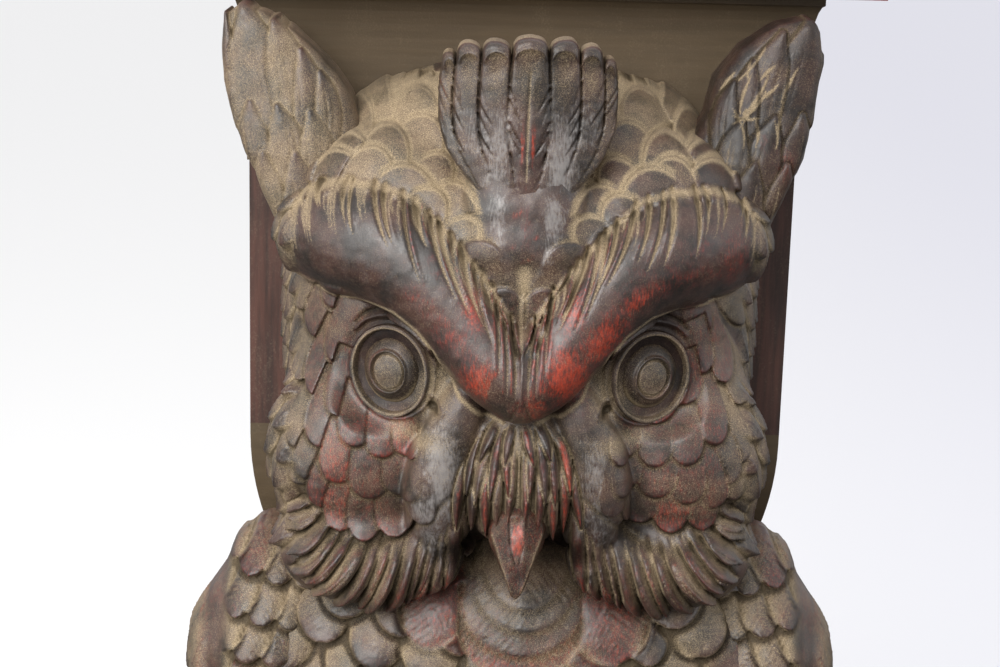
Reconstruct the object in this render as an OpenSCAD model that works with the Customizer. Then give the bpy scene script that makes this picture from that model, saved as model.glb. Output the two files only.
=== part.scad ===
// Carved horned owl standing in front of a square wooden pillar with a flared capital and a flat top board.
// Millimetres. Origin: centre of the square plinth on the floor. +Z up, the owl faces -Y.

/* [Pillar] */
// Height of the top board's underside above the floor
capital_top = 698; // [692:1:704]
// Width of the top board
board_w = 270; // [266:1:276]
// Depth of the top board
board_d = 190; // [186:1:194]
// Thickness of the top board
board_t = 22; // [18:1:28]
// Width of the square block behind the owl's head
block_w = 215; // [212:1:218]
// Depth of the square block behind the owl's head
block_d = 142; // [138:1:146]
// How far the post is set back from the block's faces
post_inset = 7.5; // [6:0.5:9]
// Distance of the pillar's centre line behind the plinth's centre
pillar_y = 54; // [52:1:56]

/* [Base] */
// Side of the square plinth
plinth_w = 300; // [296:1:304]
// Thickness of the plinth
plinth_t = 26; // [22:1:30]
// Side of the block on the plinth
base_w = 268; // [264:1:272]
// Height of the board that the owl stands on
stand_z = 84; // [82:1:86]

/* [Owl] */
// Half of the head's width
head_rx = 92; // [88:1:94]
// Height of the eyes
eye_z = 565; // [562:1:568]
// Half of the distance between the eyes
eye_x = 47; // [45:1:49]
// Radius of one turned eye
eye_r = 16; // [15:0.5:16.5]
// Lobes in the crest's fan
crest_lobes = 7; // [5:2:7]

/* [Hidden] */

flare_z = 628;                       // bottom of the flared mouldings
block_z = 520;                       // bottom of the square block
cavetto_z = 476;                     // bottom of the cavetto mouldings
core_inset = 10;                     // how far the capital's core is set back from the block
core_w = block_w - 2 * core_inset;
core_d = block_d - 2 * core_inset;
post_w = block_w - 2 * post_inset;
post_d = block_d - 2 * post_inset;
block_front = pillar_y - block_d / 2;
post_front = pillar_y - post_d / 2;
post_back = pillar_y + post_d / 2;
flare_out = 7;                       // overhang of the flare at its top
foot_mould_h = 22;
foot_mould_out = (plinth_w - base_w) / 2;
stand_t = 9;
stand_w = base_w + 14;
fit = 0.1;                           // clearance left around glued and turned pieces
head_z = 575;
head_y = -52;
neck_dowel_r = 8;
neck_dowel_h = 70;
neck_dowel_z = 450;
board_dowel_r = 6;
board_dowel_h = 34;
board_dowel_in = 20;                 // depth of the top board's dowels in the capital's core
board_dowel_x = 70;
board_dowel_y = 35;
bolt_r = 4;
bolt_h = 150;
bolt_head_r = 9;
bolt_head_h = 5;
bolt_pocket_r = 11;
bolt_pocket = 8;                     // depth of the pockets in the post's back
bolt_heights = [200, 330, 450];
screw_r = 3;
screw_h = 117;
screw_head_r = 6;
screw_head_h = 4;
screw_x = 60;
screw_y = 36;
leg_x = 42;
eye_turn = 26;                       // degrees that each eye looks outwards
stain = "#4a2f27";
worn_red = "#8a3b2a";
dusty = "#8b7c60";
tan_paint = "#6d5a40";

function quarter(a, b, steps) = [for (i = [0 : steps]) [a * sin(90 * i / steps), b * cos(90 * i / steps)]];

// One straight length of a mitred frame around a core of core_x by core_y, on the -Y side.
module frame_side(profile, core_x, core_y, low, high, reach) {
    half_x = core_x / 2;
    half_y = core_y / 2;
    intersection() {
        translate([half_x + reach, -half_y, 0])
            rotate([90, 0, -90])
                linear_extrude(core_x + 2 * reach)
                    polygon(profile);
        translate([0, 0, low - 1])
            linear_extrude(high - low + 2)
                polygon([[-half_x - reach, -half_y - reach], [half_x + reach, -half_y - reach],
                         [half_x - reach, -half_y + reach], [-half_x + reach, -half_y + reach]]);
    }
}

flare_profile = concat(
    [[0, flare_z], [core_inset + 0.8, flare_z], [core_inset + 0.8, flare_z + 7], [core_inset, flare_z + 8]],
    [for (q = quarter(capital_top - flare_z - 12, flare_out, 10))
        [core_inset + flare_out - q[1], flare_z + 8 + q[0]]],
    [[core_inset + flare_out, capital_top], [0, capital_top]]);

cavetto_profile = concat(
    [[0, cavetto_z], [1.5, cavetto_z]],
    [for (q = quarter(6, block_z - cavetto_z - 4, 10))
        [1.5 + q[0] * q[0] / 6, block_z - 4 - q[1]]],
    [[post_inset, block_z], [0, block_z]]);

foot_mould_profile = concat(
    [[0, plinth_t], [foot_mould_out, plinth_t], [foot_mould_out, plinth_t + 4]],
    [for (q = quarter(foot_mould_h - 6, foot_mould_out - 3, 8))
        [3 + q[1], plinth_t + 4 + q[0]]],
    [[3, plinth_t + foot_mould_h], [0, plinth_t + foot_mould_h]]);

module flare_side(turn) {
    wide = turn % 180 == 0 ? core_w : core_d;
    deep = turn % 180 == 0 ? core_d : core_w;
    translate([0, pillar_y, 0])
        rotate([0, 0, turn])
            frame_side(flare_profile, wide, deep, flare_z, capital_top, 24);
}

module cavetto_side(turn) {
    wide = turn % 180 == 0 ? post_w : post_d;
    deep = turn % 180 == 0 ? post_d : post_w;
    translate([0, pillar_y, 0])
        rotate([0, 0, turn])
            frame_side(cavetto_profile, wide, deep, cavetto_z, block_z, 12);
}

module foot_mould_side(turn) {
    rotate([0, 0, turn])
        frame_side(foot_mould_profile, base_w, base_w, plinth_t, plinth_t + foot_mould_h, 20);
}

module flare_front() { color(tan_paint) flare_side(0); }
module flare_right() { color(tan_paint) flare_side(90); }
module flare_back() { color(tan_paint) flare_side(180); }
module flare_left() { color(tan_paint) flare_side(270); }

module cavetto_front() { color(tan_paint) cavetto_side(0); }
module cavetto_right() { color(tan_paint) cavetto_side(90); }
module cavetto_back() { color(tan_paint) cavetto_side(180); }
module cavetto_left() { color(tan_paint) cavetto_side(270); }

module foot_mould_front() { color(tan_paint) foot_mould_side(0); }
module foot_mould_right() { color(tan_paint) foot_mould_side(90); }
module foot_mould_back() { color(tan_paint) foot_mould_side(180); }
module foot_mould_left() { color(tan_paint) foot_mould_side(270); }

module centred_box(w, d, low, high) {
    translate([-w / 2, -d / 2, low])
        cube([w, d, high - low]);
}

// The four places of the dowels that hold the top board.
module board_dowel_places() {
    for (sx = [-1, 1], sy = [-1, 1])
        translate([sx * board_dowel_x, pillar_y + sy * board_dowel_y, capital_top - board_dowel_in])
            children();
}

module top_board() {
    color(worn_red)
        difference() {
            translate([0, pillar_y, 0])
                centred_box(board_w, board_d, capital_top, capital_top + board_t);
            board_dowel_places() cylinder(h = board_dowel_h + fit, r = board_dowel_r + fit, $fn = 48);
        }
}

module capital_core() {
    color(stain)
        difference() {
            translate([0, pillar_y, 0])
                union() {
                    centred_box(block_w, block_d, block_z, flare_z);
                    centred_box(core_w, core_d, flare_z, capital_top);
                }
            translate([0, 0, -fit])
                board_dowel_places() cylinder(h = board_dowel_h, r = board_dowel_r + fit, $fn = 48);
        }
}

module board_dowels() {
    color(tan_paint) board_dowel_places() cylinder(h = board_dowel_h, r = board_dowel_r, $fn = 48);
}

module bolt_places() {
    for (z = bolt_heights)
        translate([0, post_back - bolt_pocket, z])
            rotate([90, 0, 0])
                children();
}

module owl_bolts() {
    color("silver")
        bolt_places() {
            cylinder(h = bolt_head_h, r = bolt_head_r, $fn = 40);
            translate([0, 0, bolt_head_h - 1]) cylinder(h = bolt_h, r = bolt_r, $fn = 40);
        }
}

module bolt_bores() {
    bolt_places() {
        translate([0, 0, -bolt_pocket - 1])
            cylinder(h = bolt_pocket + 1 + bolt_head_h, r = bolt_pocket_r, $fn = 48);
        cylinder(h = bolt_h + bolt_head_h - 1 + fit, r = bolt_r + fit, $fn = 40);
    }
}

module screw_places() {
    for (sx = [-1, 1], sy = [-1, 1])
        translate([sx * screw_x, pillar_y + sy * screw_y, 0])
            children();
}

module plinth_screws() {
    color("silver")
        screw_places()
            translate([0, 0, screw_head_h]) {
                cylinder(h = screw_head_h, r = screw_head_r, $fn = 40);
                translate([0, 0, screw_head_h - 1]) cylinder(h = screw_h, r = screw_r, $fn = 40);
            }
}

module screw_bores() {
    screw_places() {
        translate([0, 0, -1]) cylinder(h = 2 * screw_head_h + 1, r = screw_head_r + 1, $fn = 48);
        cylinder(h = screw_h + 2 * screw_head_h - 1 + fit, r = screw_r + fit, $fn = 40);
    }
}

module post() {
    color(stain)
        difference() {
            translate([0, pillar_y, 0]) centred_box(post_w, post_d, stand_z, block_z);
            bolt_bores();
            screw_bores();
        }
}

module plinth() {
    color(stain)
        difference() {
            centred_box(plinth_w, plinth_w, 0, plinth_t);
            screw_bores();
        }
}

module base_block() {
    color(stain)
        difference() {
            centred_box(base_w, base_w, plinth_t, stand_z - stand_t);
            screw_bores();
        }
}

module stand_board() {
    color(worn_red)
        difference() {
            centred_box(stand_w, stand_w, stand_z - stand_t, stand_z);
            screw_bores();
        }
}

// Everything behind the pillar's front, that the owl's pieces are cut back to.
module behind_owl() {
    translate([-300, 0, 0])
        rotate([90, 0, 90])
            linear_extrude(600)
                polygon([[post_front, 0], [post_front, cavetto_z - 0.5], [post_front - 1.6, cavetto_z - 0.5],
                         [block_front, block_z - 6], [block_front, flare_z - 1],
                         [block_front - 0.9, flare_z - 1], [block_front - 0.9, flare_z + 8],
                         [block_front - flare_out, capital_top - 14],
                         [block_front - flare_out, capital_top], [400, capital_top], [400, 0]]);
}

module blob(at, radii) {
    translate(at)
        scale(radii)
            sphere(r = 1, $fn = 32);
}

module ball(at, r) {
    translate(at)
        sphere(r = r, $fn = 20);
}

module head_form() {
    hull() {
        blob([0, head_y - 2, head_z], [head_rx, 50, 92]);
        blob([0, head_y - 8, head_z - 36], [head_rx, 42, 66]);
    }
}

module body_form() {
    hull() {
        blob([0, -46, 452], [108, 52, 44]);
        blob([0, -52, 380], [106, 62, 80]);
        blob([0, -50, 270], [92, 60, 80]);
        blob([0, -46, 200], [68, 50, 46]);
    }
}

module neck_dowel_places() {
    for (sx = [-1, 1])
        translate([sx * 30, -50, neck_dowel_z])
            children();
}

module neck_dowels() {
    color(tan_paint) neck_dowel_places() cylinder(h = neck_dowel_h, r = neck_dowel_r, $fn = 48);
}

module owl_body() {
    color(stain)
        difference() {
            body_form();
            head_form();
            behind_owl();
            bolt_bores();
            translate([0, 0, -fit])
                neck_dowel_places() cylinder(h = neck_dowel_h, r = neck_dowel_r + fit, $fn = 48);
        }
}

// The brow's centre line on one side, from the outer end to the meeting point above the beak.
brow_path = [[76, -82, 613, 15], [52, -96, 612, 17], [30, -106, 596, 15], [2, -116, 564, 11]];

module brow(side) {
    for (i = [0 : len(brow_path) - 2])
        hull()
            for (k = [i, i + 1])
                ball([side * brow_path[k][0], brow_path[k][1], brow_path[k][2]], brow_path[k][3]);
}

module eye_place(side) {
    translate([side * (eye_x - 5), -87, eye_z])
        rotate([90, 0, side * eye_turn])
            children();
}

module owl_head() {
    color(stain)
        difference() {
            union() {
                head_form();
                brow(-1);
                brow(1);
            }
            behind_owl();
            for (side = [-1, 1])
                eye_place(side) translate([0, 0, -fit]) cylinder(h = 60, r = eye_r + fit, $fn = 64);
            neck_dowel_places() cylinder(h = neck_dowel_h + fit, r = neck_dowel_r + fit, $fn = 48);
        }
}

// A turned eye: a disc with a raised ring around a domed pupil.
module eye_turning() {
    rotate_extrude($fn = 64) {
        square([eye_r, 12]);
        translate([0, 12]) square([eye_r * 0.46, 3]);
        translate([eye_r * 0.66, 12]) circle(r = eye_r * 0.18, $fn = 24);
    }
}

module eye(side) {
    color(stain) eye_place(side) eye_turning();
}

module eye_left() { eye(-1); }
module eye_right() { eye(1); }

module beak() {
    color(worn_red)
        difference() {
            hull() {
                blob([0, -112, 540], [13, 12, 14]);
                blob([0, -116, 520], [17, 16, 12]);
                blob([0, -130, 500], [6, 8, 9]);
            }
            head_form();
            brow(-1);
            brow(1);
        }
}

module crest() {
    color(stain)
        difference() {
            union()
                for (i = [0 : crest_lobes - 1]) {
                    lean = 2 * i / (crest_lobes - 1) - 1;
                    hull() {
                        ball([9 * lean, -103, 622], 6);
                        ball([15 * lean, -104, 644], 6.5);
                        ball([25 * lean, -96, 679 - 11 * lean * lean], 6.8);
                    }
                }
            head_form();
            brow(-1);
            brow(1);
        }
}

// Two layers of broad leaf-shaped feathers that lean outwards over the capital.
module ear(side) {
    color(dusty)
        difference() {
            union() {
                hull() {
                    blob([side * 76, -58, 636], [16, 20, 22]);
                    blob([side * 96, -52, 650], [14, 14, 20]);
                    blob([side * 104, -50, 680], [8, 10, 11]);
                    blob([side * 90, -54, 681], [9, 10, 10]);
                }
                hull() {
                    blob([side * 72, -66, 640], [14, 16, 18]);
                    blob([side * 84, -60, 672], [12, 9, 12]);
                }
            }
            head_form();
            brow(side);
            behind_owl();
        }
}

module ear_left() { ear(-1); }
module ear_right() { ear(1); }

module wing(side) {
    color(stain)
        difference() {
            hull() {
                blob([side * 98, -46, 444], [31, 40, 48]);
                blob([side * 102, -46, 330], [26, 42, 70]);
                blob([side * 84, -34, 190], [20, 24, 40]);
            }
            body_form();
            head_form();
            behind_owl();
        }
}

module wing_left() { wing(-1); }
module wing_right() { wing(1); }

module tail() {
    color(stain)
        difference() {
            union()
                for (i = [-2 : 2])
                    hull() {
                        blob([9 * i, -26, 230], [12, 12, 20]);
                        blob([15 * i, -26 + 2 * abs(i), 100 + 4 * abs(i)], [12, 9, 12]);
                    }
            body_form();
            behind_owl();
            for (side = [-1, 1])
                leg_form(side);
        }
}

module leg_form(side) {
    hull() {
        blob([side * leg_x, -62, 176], [30, 32, 34]);
        blob([side * leg_x, -76, stand_z + 24], [17, 18, 8]);
    }
}

module above_stand() {
    translate([0, 0, 200])
        centred_box(400, 400, stand_z - 200, 200);
}

module leg(side) {
    color(stain)
        difference() {
            leg_form(side);
            body_form();
        }
}

// Three toes that spread forwards, each ending in a talon.
module foot(side) {
    color(stain)
        intersection() {
            difference() {
                for (spread = [-1 : 1]) {
                    hull() {
                        ball([side * leg_x + 6 * spread, -78, stand_z + 9], 11);
                        ball([side * leg_x + 19 * spread, -118, stand_z + 7], 8);
                    }
                    hull() {
                        ball([side * leg_x + 19 * spread, -121, stand_z + 8], 6);
                        ball([side * leg_x + 22 * spread, -138, stand_z + 2], 2);
                    }
                }
                leg_form(side);
            }
            above_stand();
        }
}

module leg_left() { leg(-1); }
module leg_right() { leg(1); }
module foot_left() { foot(-1); }
module foot_right() { foot(1); }

top_board();
capital_core();
flare_front();
flare_back();
flare_left();
flare_right();
cavetto_front();
cavetto_back();
cavetto_left();
cavetto_right();
post();
plinth();
base_block();
stand_board();
foot_mould_front();
foot_mould_back();
foot_mould_left();
foot_mould_right();
owl_body();
owl_head();
ear_left();
ear_right();
crest();
beak();
eye_left();
eye_right();
wing_left();
wing_right();
tail();
leg_left();
leg_right();
foot_left();
foot_right();
neck_dowels();
board_dowels();
owl_bolts();
plinth_screws();
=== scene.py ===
"""Carved horned owl in front of a square pillar. Lengths are in millimetres until a mesh is made."""

import math

import bpy
import numpy as np
import openvdb
from mathutils import Matrix, Vector


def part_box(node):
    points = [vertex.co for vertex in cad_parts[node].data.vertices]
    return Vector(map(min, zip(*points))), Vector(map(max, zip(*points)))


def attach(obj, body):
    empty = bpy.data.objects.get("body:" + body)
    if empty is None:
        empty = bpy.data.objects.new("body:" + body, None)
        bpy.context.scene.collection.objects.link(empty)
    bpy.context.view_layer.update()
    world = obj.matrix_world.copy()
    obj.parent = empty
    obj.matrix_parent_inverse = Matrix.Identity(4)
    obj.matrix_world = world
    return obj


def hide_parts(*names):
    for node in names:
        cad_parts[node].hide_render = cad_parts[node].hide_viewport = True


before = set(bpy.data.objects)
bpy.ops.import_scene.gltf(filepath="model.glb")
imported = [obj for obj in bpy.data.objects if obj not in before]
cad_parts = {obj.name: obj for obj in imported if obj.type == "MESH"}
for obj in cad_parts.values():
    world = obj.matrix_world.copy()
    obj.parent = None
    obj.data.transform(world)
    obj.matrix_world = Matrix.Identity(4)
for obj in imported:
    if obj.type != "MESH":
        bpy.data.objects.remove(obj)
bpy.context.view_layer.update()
MM = 0.001
FINE = 0.6      # voxel of the head and its parts
COARSE = 1.0    # voxel of the body, wings, tail and legs
AIR = 0.15                        # air between a carved piece and the pillar


# ---------------------------------------------------------------- places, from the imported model

def node_box(node):
    """Lowest and highest corner of a CAD node in millimetres."""
    low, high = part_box(node)
    return np.array(low) / MM, np.array(high) / MM


HEAD_FOOT = node_box("owl_head")[0][2]
BLOCK_FRONT = node_box("capital_core")[0][1]
POST_FRONT = node_box("post")[0][1]
STAND_TOP = node_box("stand_board")[1][2]
CAPITAL_TOP = node_box("top_board")[0][2]
EYE_Z = float(np.mean([corner[2] for corner in node_box("eye_left")]))
SIDES = (-1, 1)                   # the viewer's left and right
FRONT, BESIDE, TOP = (0, 2), (1, 2), (0, 1)    # the two axes that a relief lies in
SLOPE = 66                        # height over which the capital's front leans back at its top


# ---------------------------------------------------------------- small maths

def smooth(low, high, x):
    """0 below low, 1 above high and a smooth step between."""
    t = np.clip((x - low) / (high - low), 0, 1)
    return t * t * (3 - 2 * t)


def mix(a, b, t):
    return a + (b - a) * t


def bell(x, middle, width):
    """1 at the middle, falling off smoothly over the width."""
    return np.exp(-((x - middle) / width) ** 2)


def blur(field, radius):
    """Three box blurs along each axis, close to a Gaussian of that radius in cells."""
    size = max(1, int(round(radius)))
    out = field.astype(np.float64)
    for axis in (0, 1):
        for _ in range(3):
            pad = [(0, 0), (0, 0)]
            pad[axis] = (size + 1, size)
            total = np.cumsum(np.pad(out, pad, mode="edge"), axis=axis)
            count = out.shape[axis]
            upper = np.take(total, range(2 * size + 1, 2 * size + 1 + count), axis=axis)
            lower = np.take(total, range(0, count), axis=axis)
            out = (upper - lower) / (2 * size + 1)
    return out


def noise2(u, v, scale, seed):
    """Smooth value noise from -1 to 1, with features of that many millimetres."""
    a = u / scale
    b = v / scale
    ia = np.floor(a).astype(np.int64)
    ib = np.floor(b).astype(np.int64)
    fa = a - ia
    fb = b - ib
    fa = fa * fa * (3 - 2 * fa)
    fb = fb * fb * (3 - 2 * fb)

    def corner(i, j):
        h = (i * 374761393 + j * 668265263 + seed * 974711) & 0x7FFFFFFF
        h = ((h ^ (h >> 13)) * 1274126177) & 0x7FFFFFFF
        return ((h ^ (h >> 16)) & 0xFFFF) / 32767.5 - 1

    low = mix(corner(ia, ib), corner(ia + 1, ib), fa)
    high = mix(corner(ia, ib + 1), corner(ia + 1, ib + 1), fa)
    return mix(low, high, fb)


def brick(rows, columns):
    """Places in rows that are set off by half a place: row, column and the place in the row."""
    for row in rows:
        for i in columns:
            yield row, i, i + 0.5 * (row % 2)


def bezier(start, bend, end, count=9):
    """Points on a curve from start to end that is pulled towards bend."""
    t = np.linspace(0, 1, count)[:, None]
    start, bend, end = (np.array(p, float) for p in (start, bend, end))
    return (1 - t) ** 2 * start + 2 * t * (1 - t) * bend + t * t * end


def along(points, t):
    """The point at t from 0 to 1 along a polyline, by its length."""
    points = np.array(points, float)
    steps = np.linalg.norm(np.diff(points, axis=0), axis=1)
    reach = np.concatenate([[0], np.cumsum(steps)]) / steps.sum()
    return np.array([np.interp(t, reach, points[:, k]) for k in range(points.shape[1])])


def spline(points, count):
    """A smooth line through points, with as many columns as they have."""
    p = np.array(points, float)
    p = np.vstack([2 * p[0] - p[1], p, 2 * p[-1] - p[-2]])
    t = np.linspace(0, len(points) - 1 - 1e-9, count)
    k = t.astype(int)
    f = (t - k)[:, None]
    a, b, c, d = p[k], p[k + 1], p[k + 2], p[k + 3]
    bend = (2 * a - 5 * b + 4 * c - d) * f ** 2 + (3 * b - a - 3 * c + d) * f ** 3
    return b + 0.5 * ((c - a) * f + bend)


def polygon_distance(outline, u, v):
    """Distance to a closed outline, below zero inside it."""
    outline = np.array(outline, float)
    u, v = np.broadcast_arrays(u, v)
    best = np.full(u.shape, 1e9)
    inside = np.zeros(u.shape, bool)
    for p, q in zip(outline, np.roll(outline, -1, axis=0)):
        du, dv = q - p
        t = np.clip(((u - p[0]) * du + (v - p[1]) * dv) / (du * du + dv * dv + 1e-12), 0, 1)
        best = np.minimum(best, np.hypot(u - p[0] - t * du, v - p[1] - t * dv))
        crosses = (p[1] > v) != (q[1] > v)
        inside ^= crosses & (u < du * (v - p[1]) / (dv + 1e-12) + p[0])
    return np.where(inside, -best, best)


# ---------------------------------------------------------------- relief that is painted over a surface

class Relief:
    """Height in millimetres, dust and painted shade from 0 to 1, and a layer of worn red and painted sheen
    from -1 (a painted grey highlight) over 0 (stained) to 1 (worn to the red coat), over a flat patch seen
    from one side."""

    def __init__(self, low, high, step):
        self.low = np.array(low, float)
        self.step = step
        count = np.ceil((np.array(high) - self.low) / step).astype(int) + 1
        self.u = self.low[0] + step * np.arange(count[0])
        self.v = self.low[1] + step * np.arange(count[1])
        self.height = np.zeros(count)
        self.dust = np.zeros(count)
        self.wear_and_sheen = np.zeros(count)
        self.shade = np.zeros(count)

    def grid(self):
        return self.u[:, None], self.v[None, :]

    def window(self, low, high):
        """Index ranges and coordinates of the part of the patch between two corners."""
        a = np.clip(((np.array(low) - self.low) / self.step).astype(int), 0, self.height.shape)
        b = np.clip(((np.array(high) - self.low) / self.step).astype(int) + 2, 0, self.height.shape)
        area = (slice(a[0], b[0]), slice(a[1], b[1]))
        return area, self.u[area[0]][:, None], self.v[area[1]][None, :]

    def follow(self, points, reach):
        """Near a line: index range, distance from it, side of it and place along it from 0 to 1."""
        points = np.array(points, float)[:, :2]
        area, u, v = self.window(points.min(0) - reach, points.max(0) + reach)
        steps = np.linalg.norm(np.diff(points, axis=0), axis=1)
        starts = np.concatenate([[0], np.cumsum(steps)])
        near = np.full((u.size, v.size), 1e9)
        place = np.zeros_like(near)
        side = np.zeros_like(near)
        for k, step in enumerate(steps):
            du, dv = (points[k + 1] - points[k]) / max(step, 1e-6)
            t = np.clip((u - points[k, 0]) * du + (v - points[k, 1]) * dv, 0, step)
            off_u = u - points[k, 0] - t * du
            off_v = v - points[k, 1] - t * dv
            distance = np.hypot(off_u, off_v)
            nearer = distance < near
            near = np.where(nearer, distance, near)
            side = np.where(nearer, du * off_v - dv * off_u, side)
            place = np.where(nearer, (starts[k] + t) / starts[-1], place)
        return area, near, side, place

    def lay(self, area, profile, dust, wear_and_sheen, shade):
        """Raises dust, wear and shade to these values where the profile is 1."""
        for layer, value in ((self.dust, dust), (self.wear_and_sheen, wear_and_sheen), (self.shade, shade)):
            layer[area] += np.maximum(value * profile - np.maximum(layer[area], 0), 0)

    def stroke(self, points, widths, height, dust=0.0, wear_and_sheen=0.0, shade=0.0):
        """A ridge, or a groove where height is negative. widths are evenly spaced along the line."""
        area, near, _, place = self.follow(points, max(widths) * 1.8)
        width = np.interp(place, np.linspace(0, 1, len(widths)), widths)
        profile = np.exp(-(near / np.maximum(width * 0.5, 0.05)) ** 2)
        self.height[area] += height * profile * np.minimum(1, width / max(widths) + 0.25)
        self.lay(area, profile, dust, wear_and_sheen, shade)

    def blade(self, points, widths, lift, crown=0.7, lean=0.0, rise=(0.3, 1, 1), gap=1.2, cut=0.0,
              dust=0.0, rim_dust=0.0, gap_dust=0.3, wear_and_sheen=0.0, gap_shade=0.7, ridge=2.0, fade=0.02):
        """A long feather that lies over what is under it. cut sinks a gap along its two sides; fade is the
        share of its length over which it grows out of what is under it."""
        area, near, side, place = self.follow(points, max(widths) / 2 + gap + 1)
        half = np.maximum(np.interp(place, np.linspace(0, 1, len(widths)), widths) / 2, 0.05)
        q = np.clip(near / half, 0, 1)
        grown = smooth(0, fade, place)
        outside = smooth(gap, 0, near - half) * smooth(0.80, 1.0, near / half) * grown
        inside = smooth(1.0, 0.80, near / half) * grown
        top = lift * np.interp(place, np.linspace(0, 1, len(rise)), rise)
        top = top * (1 - crown * q ** ridge + lean * np.clip(side / half, -1, 1))
        self.height[area] = mix(self.height[area] - cut * outside, top, inside)
        for layer, value in ((self.dust, dust), (self.wear_and_sheen, wear_and_sheen * (1 - q ** 2)), (self.shade, 0.0)):
            layer[area] = mix(layer[area], value, inside)
        self.lay(area, inside * smooth(0.55, 0.95, q), rim_dust, 0, 0)
        self.lay(area, outside, gap_dust, 0, gap_shade)

    def oval(self, centre, radii, share=2.5, turn=0.0):
        """The index range round an oval place, out to that share of its radii, and its soft profile."""
        reach = share * max(radii)
        area, u, v = self.window(np.array(centre) - reach, np.array(centre) + reach)
        c, s = math.cos(turn), math.sin(turn)
        a = ((u - centre[0]) * c + (v - centre[1]) * s) / radii[0]
        b = (-(u - centre[0]) * s + (v - centre[1]) * c) / radii[1]
        return area, np.exp(-(a * a + b * b))

    def spot(self, centre, radii, height=0.0, dust=0.0, wear_and_sheen=0.0, shade=0.0, turn=0.0):
        """A soft round patch."""
        area, profile = self.oval(centre, radii, 2.2, turn)
        self.height[area] += height * profile
        self.lay(area, profile, dust, wear_and_sheen, shade)

    def feather(self, tip, angle, length, width, lift, seed=0, point=2.2, shaft=0.0, barbs=0.0,
                barb_pitch=1.7, rim_dust=0.0, face_dust=0.0, face_wear=0.0, crown=0.45, gap_shade=0.5,
                gap_dust=0.2):
        """One overlapping feather. angle is the way its tip points, counted from +u towards +v."""
        du, dv = math.cos(angle), math.sin(angle)
        root = np.array(tip, float) - length * np.array([du, dv])
        reach = max(length, width) * 0.62
        middle = (np.array(tip) + root) / 2
        area, u, v = self.window(middle - reach - 1, middle + reach + 1)
        if u.size == 0 or v.size == 0:
            return
        a = ((u - root[0]) * du + (v - root[1]) * dv) / length
        b = ((v - root[1]) * du - (u - root[0]) * dv) / (width / 2)
        round_a = np.clip((a - 0.45) / 0.55, 0, 2)
        edge = 1 - (np.abs(b) ** point + round_a ** point)
        inside = smooth(0, 0.16, edge) * (a > 0)
        top = lift * np.clip(a, 0, 1) ** 0.8 * (1 - crown * np.clip(np.abs(b), 0, 1) ** 2)
        if shaft:
            top = top + shaft * np.exp(-(b * width / 2 / 0.5) ** 2)
        if barbs:
            phase = (a * length - np.abs(b) * width * 0.55) / barb_pitch + seed * 0.37
            wobble = 0.35 * noise2(u + seed * 31, v, 3.0, seed)
            top = top + barbs * np.sin(2 * math.pi * (phase + wobble)) * smooth(0.05, 0.3, edge)
        self.height[area] = mix(self.height[area], top, inside)
        beyond = smooth(-0.5, -0.04, edge) * (1 - inside) * smooth(0.45, 0.75, a)
        self.shade[area] = np.maximum(self.shade[area], gap_shade * beyond)
        self.dust[area] = np.maximum(self.dust[area], gap_dust * beyond)
        rim = inside * (1 - smooth(0.10, 0.42, edge)) * smooth(0.4, 0.7, a)
        face = inside * smooth(0.15, 0.5, edge)
        for layer, value in ((self.dust, face_dust), (self.wear_and_sheen, face_wear), (self.shade, 0.0)):
            layer[area] = mix(layer[area], value, inside)
        self.dust[area] = np.maximum(self.dust[area], rim_dust * rim)
        self.wear_and_sheen[area] = mix(self.wear_and_sheen[area], face_wear, face)

    def clear(self, points):
        """Wipes the relief within a bar of points (u, v, radius)."""
        points = np.array(points, float)
        widest = points[:, 2].max()
        area, near, _, place = self.follow(points, widest + 2)
        radius = np.interp(place, np.linspace(0, 1, len(points)), points[:, 2])
        left = smooth(-2.2, 0.2, near - radius)
        for layer in (self.height, self.dust, self.wear_and_sheen, self.shade):
            layer[area] *= left

    def wipe(self, centre, radii, share):
        """Brushes the dust off an oval place. share is how much of it goes at the middle."""
        area, profile = self.oval(centre, radii)
        self.dust[area] *= 1 - share * profile

    def paint_sheen(self, centre, radii, share):
        """Paints a grey sheen, a painted highlight, on an oval place, with less dust and painted shade there.
        share is how much so at the middle.
        """
        area, profile = self.oval(centre, radii)
        rub_and_sheen = share * profile
        self.dust[area] *= 1 - rub_and_sheen
        self.shade[area] *= 1 - 0.6 * rub_and_sheen
        self.wear_and_sheen[area] = self.wear_and_sheen[area] * (1 - rub_and_sheen) - rub_and_sheen

    def roughen(self, *layers):
        """Adds uneven height. Each layer is its height, the size of its features and its seed."""
        u, v = self.grid()
        self.height += sum(height * noise2(u, v, size, seed) for height, size, seed in layers)

    def settle(self, dust, hollow_shade, reach):
        """Dust gathers in the hollows and leaves the high places, and painted shade darkens the hollows."""
        for size in (reach, reach * 0.4):
            hollow = blur(self.height, size / self.step) - self.height
            self.dust += dust * (smooth(0.1, 1.0, hollow) - 0.8 * smooth(0.1, 0.8, -hollow))
            self.shade += hollow_shade * smooth(0.25, 1.2, hollow)
        self.dust = np.clip(self.dust, 0, 1)
        self.shade = np.clip(self.shade, 0, 1)

    def sample(self, layer, u, v):
        """Values of a layer at places u and v, which broadcast against each other."""
        a = np.clip((u - self.low[0]) / self.step, 0, layer.shape[0] - 1.001)
        b = np.clip((v - self.low[1]) / self.step, 0, layer.shape[1] - 1.001)
        ia = a.astype(int)
        ib = b.astype(int)
        fa = a - ia
        fb = b - ib
        low = mix(layer[ia, ib], layer[ia + 1, ib], fa)
        high = mix(layer[ia, ib + 1], layer[ia + 1, ib + 1], fa)
        return mix(low, high, fb)


# ---------------------------------------------------------------- solid forms on a voxel grid

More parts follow.
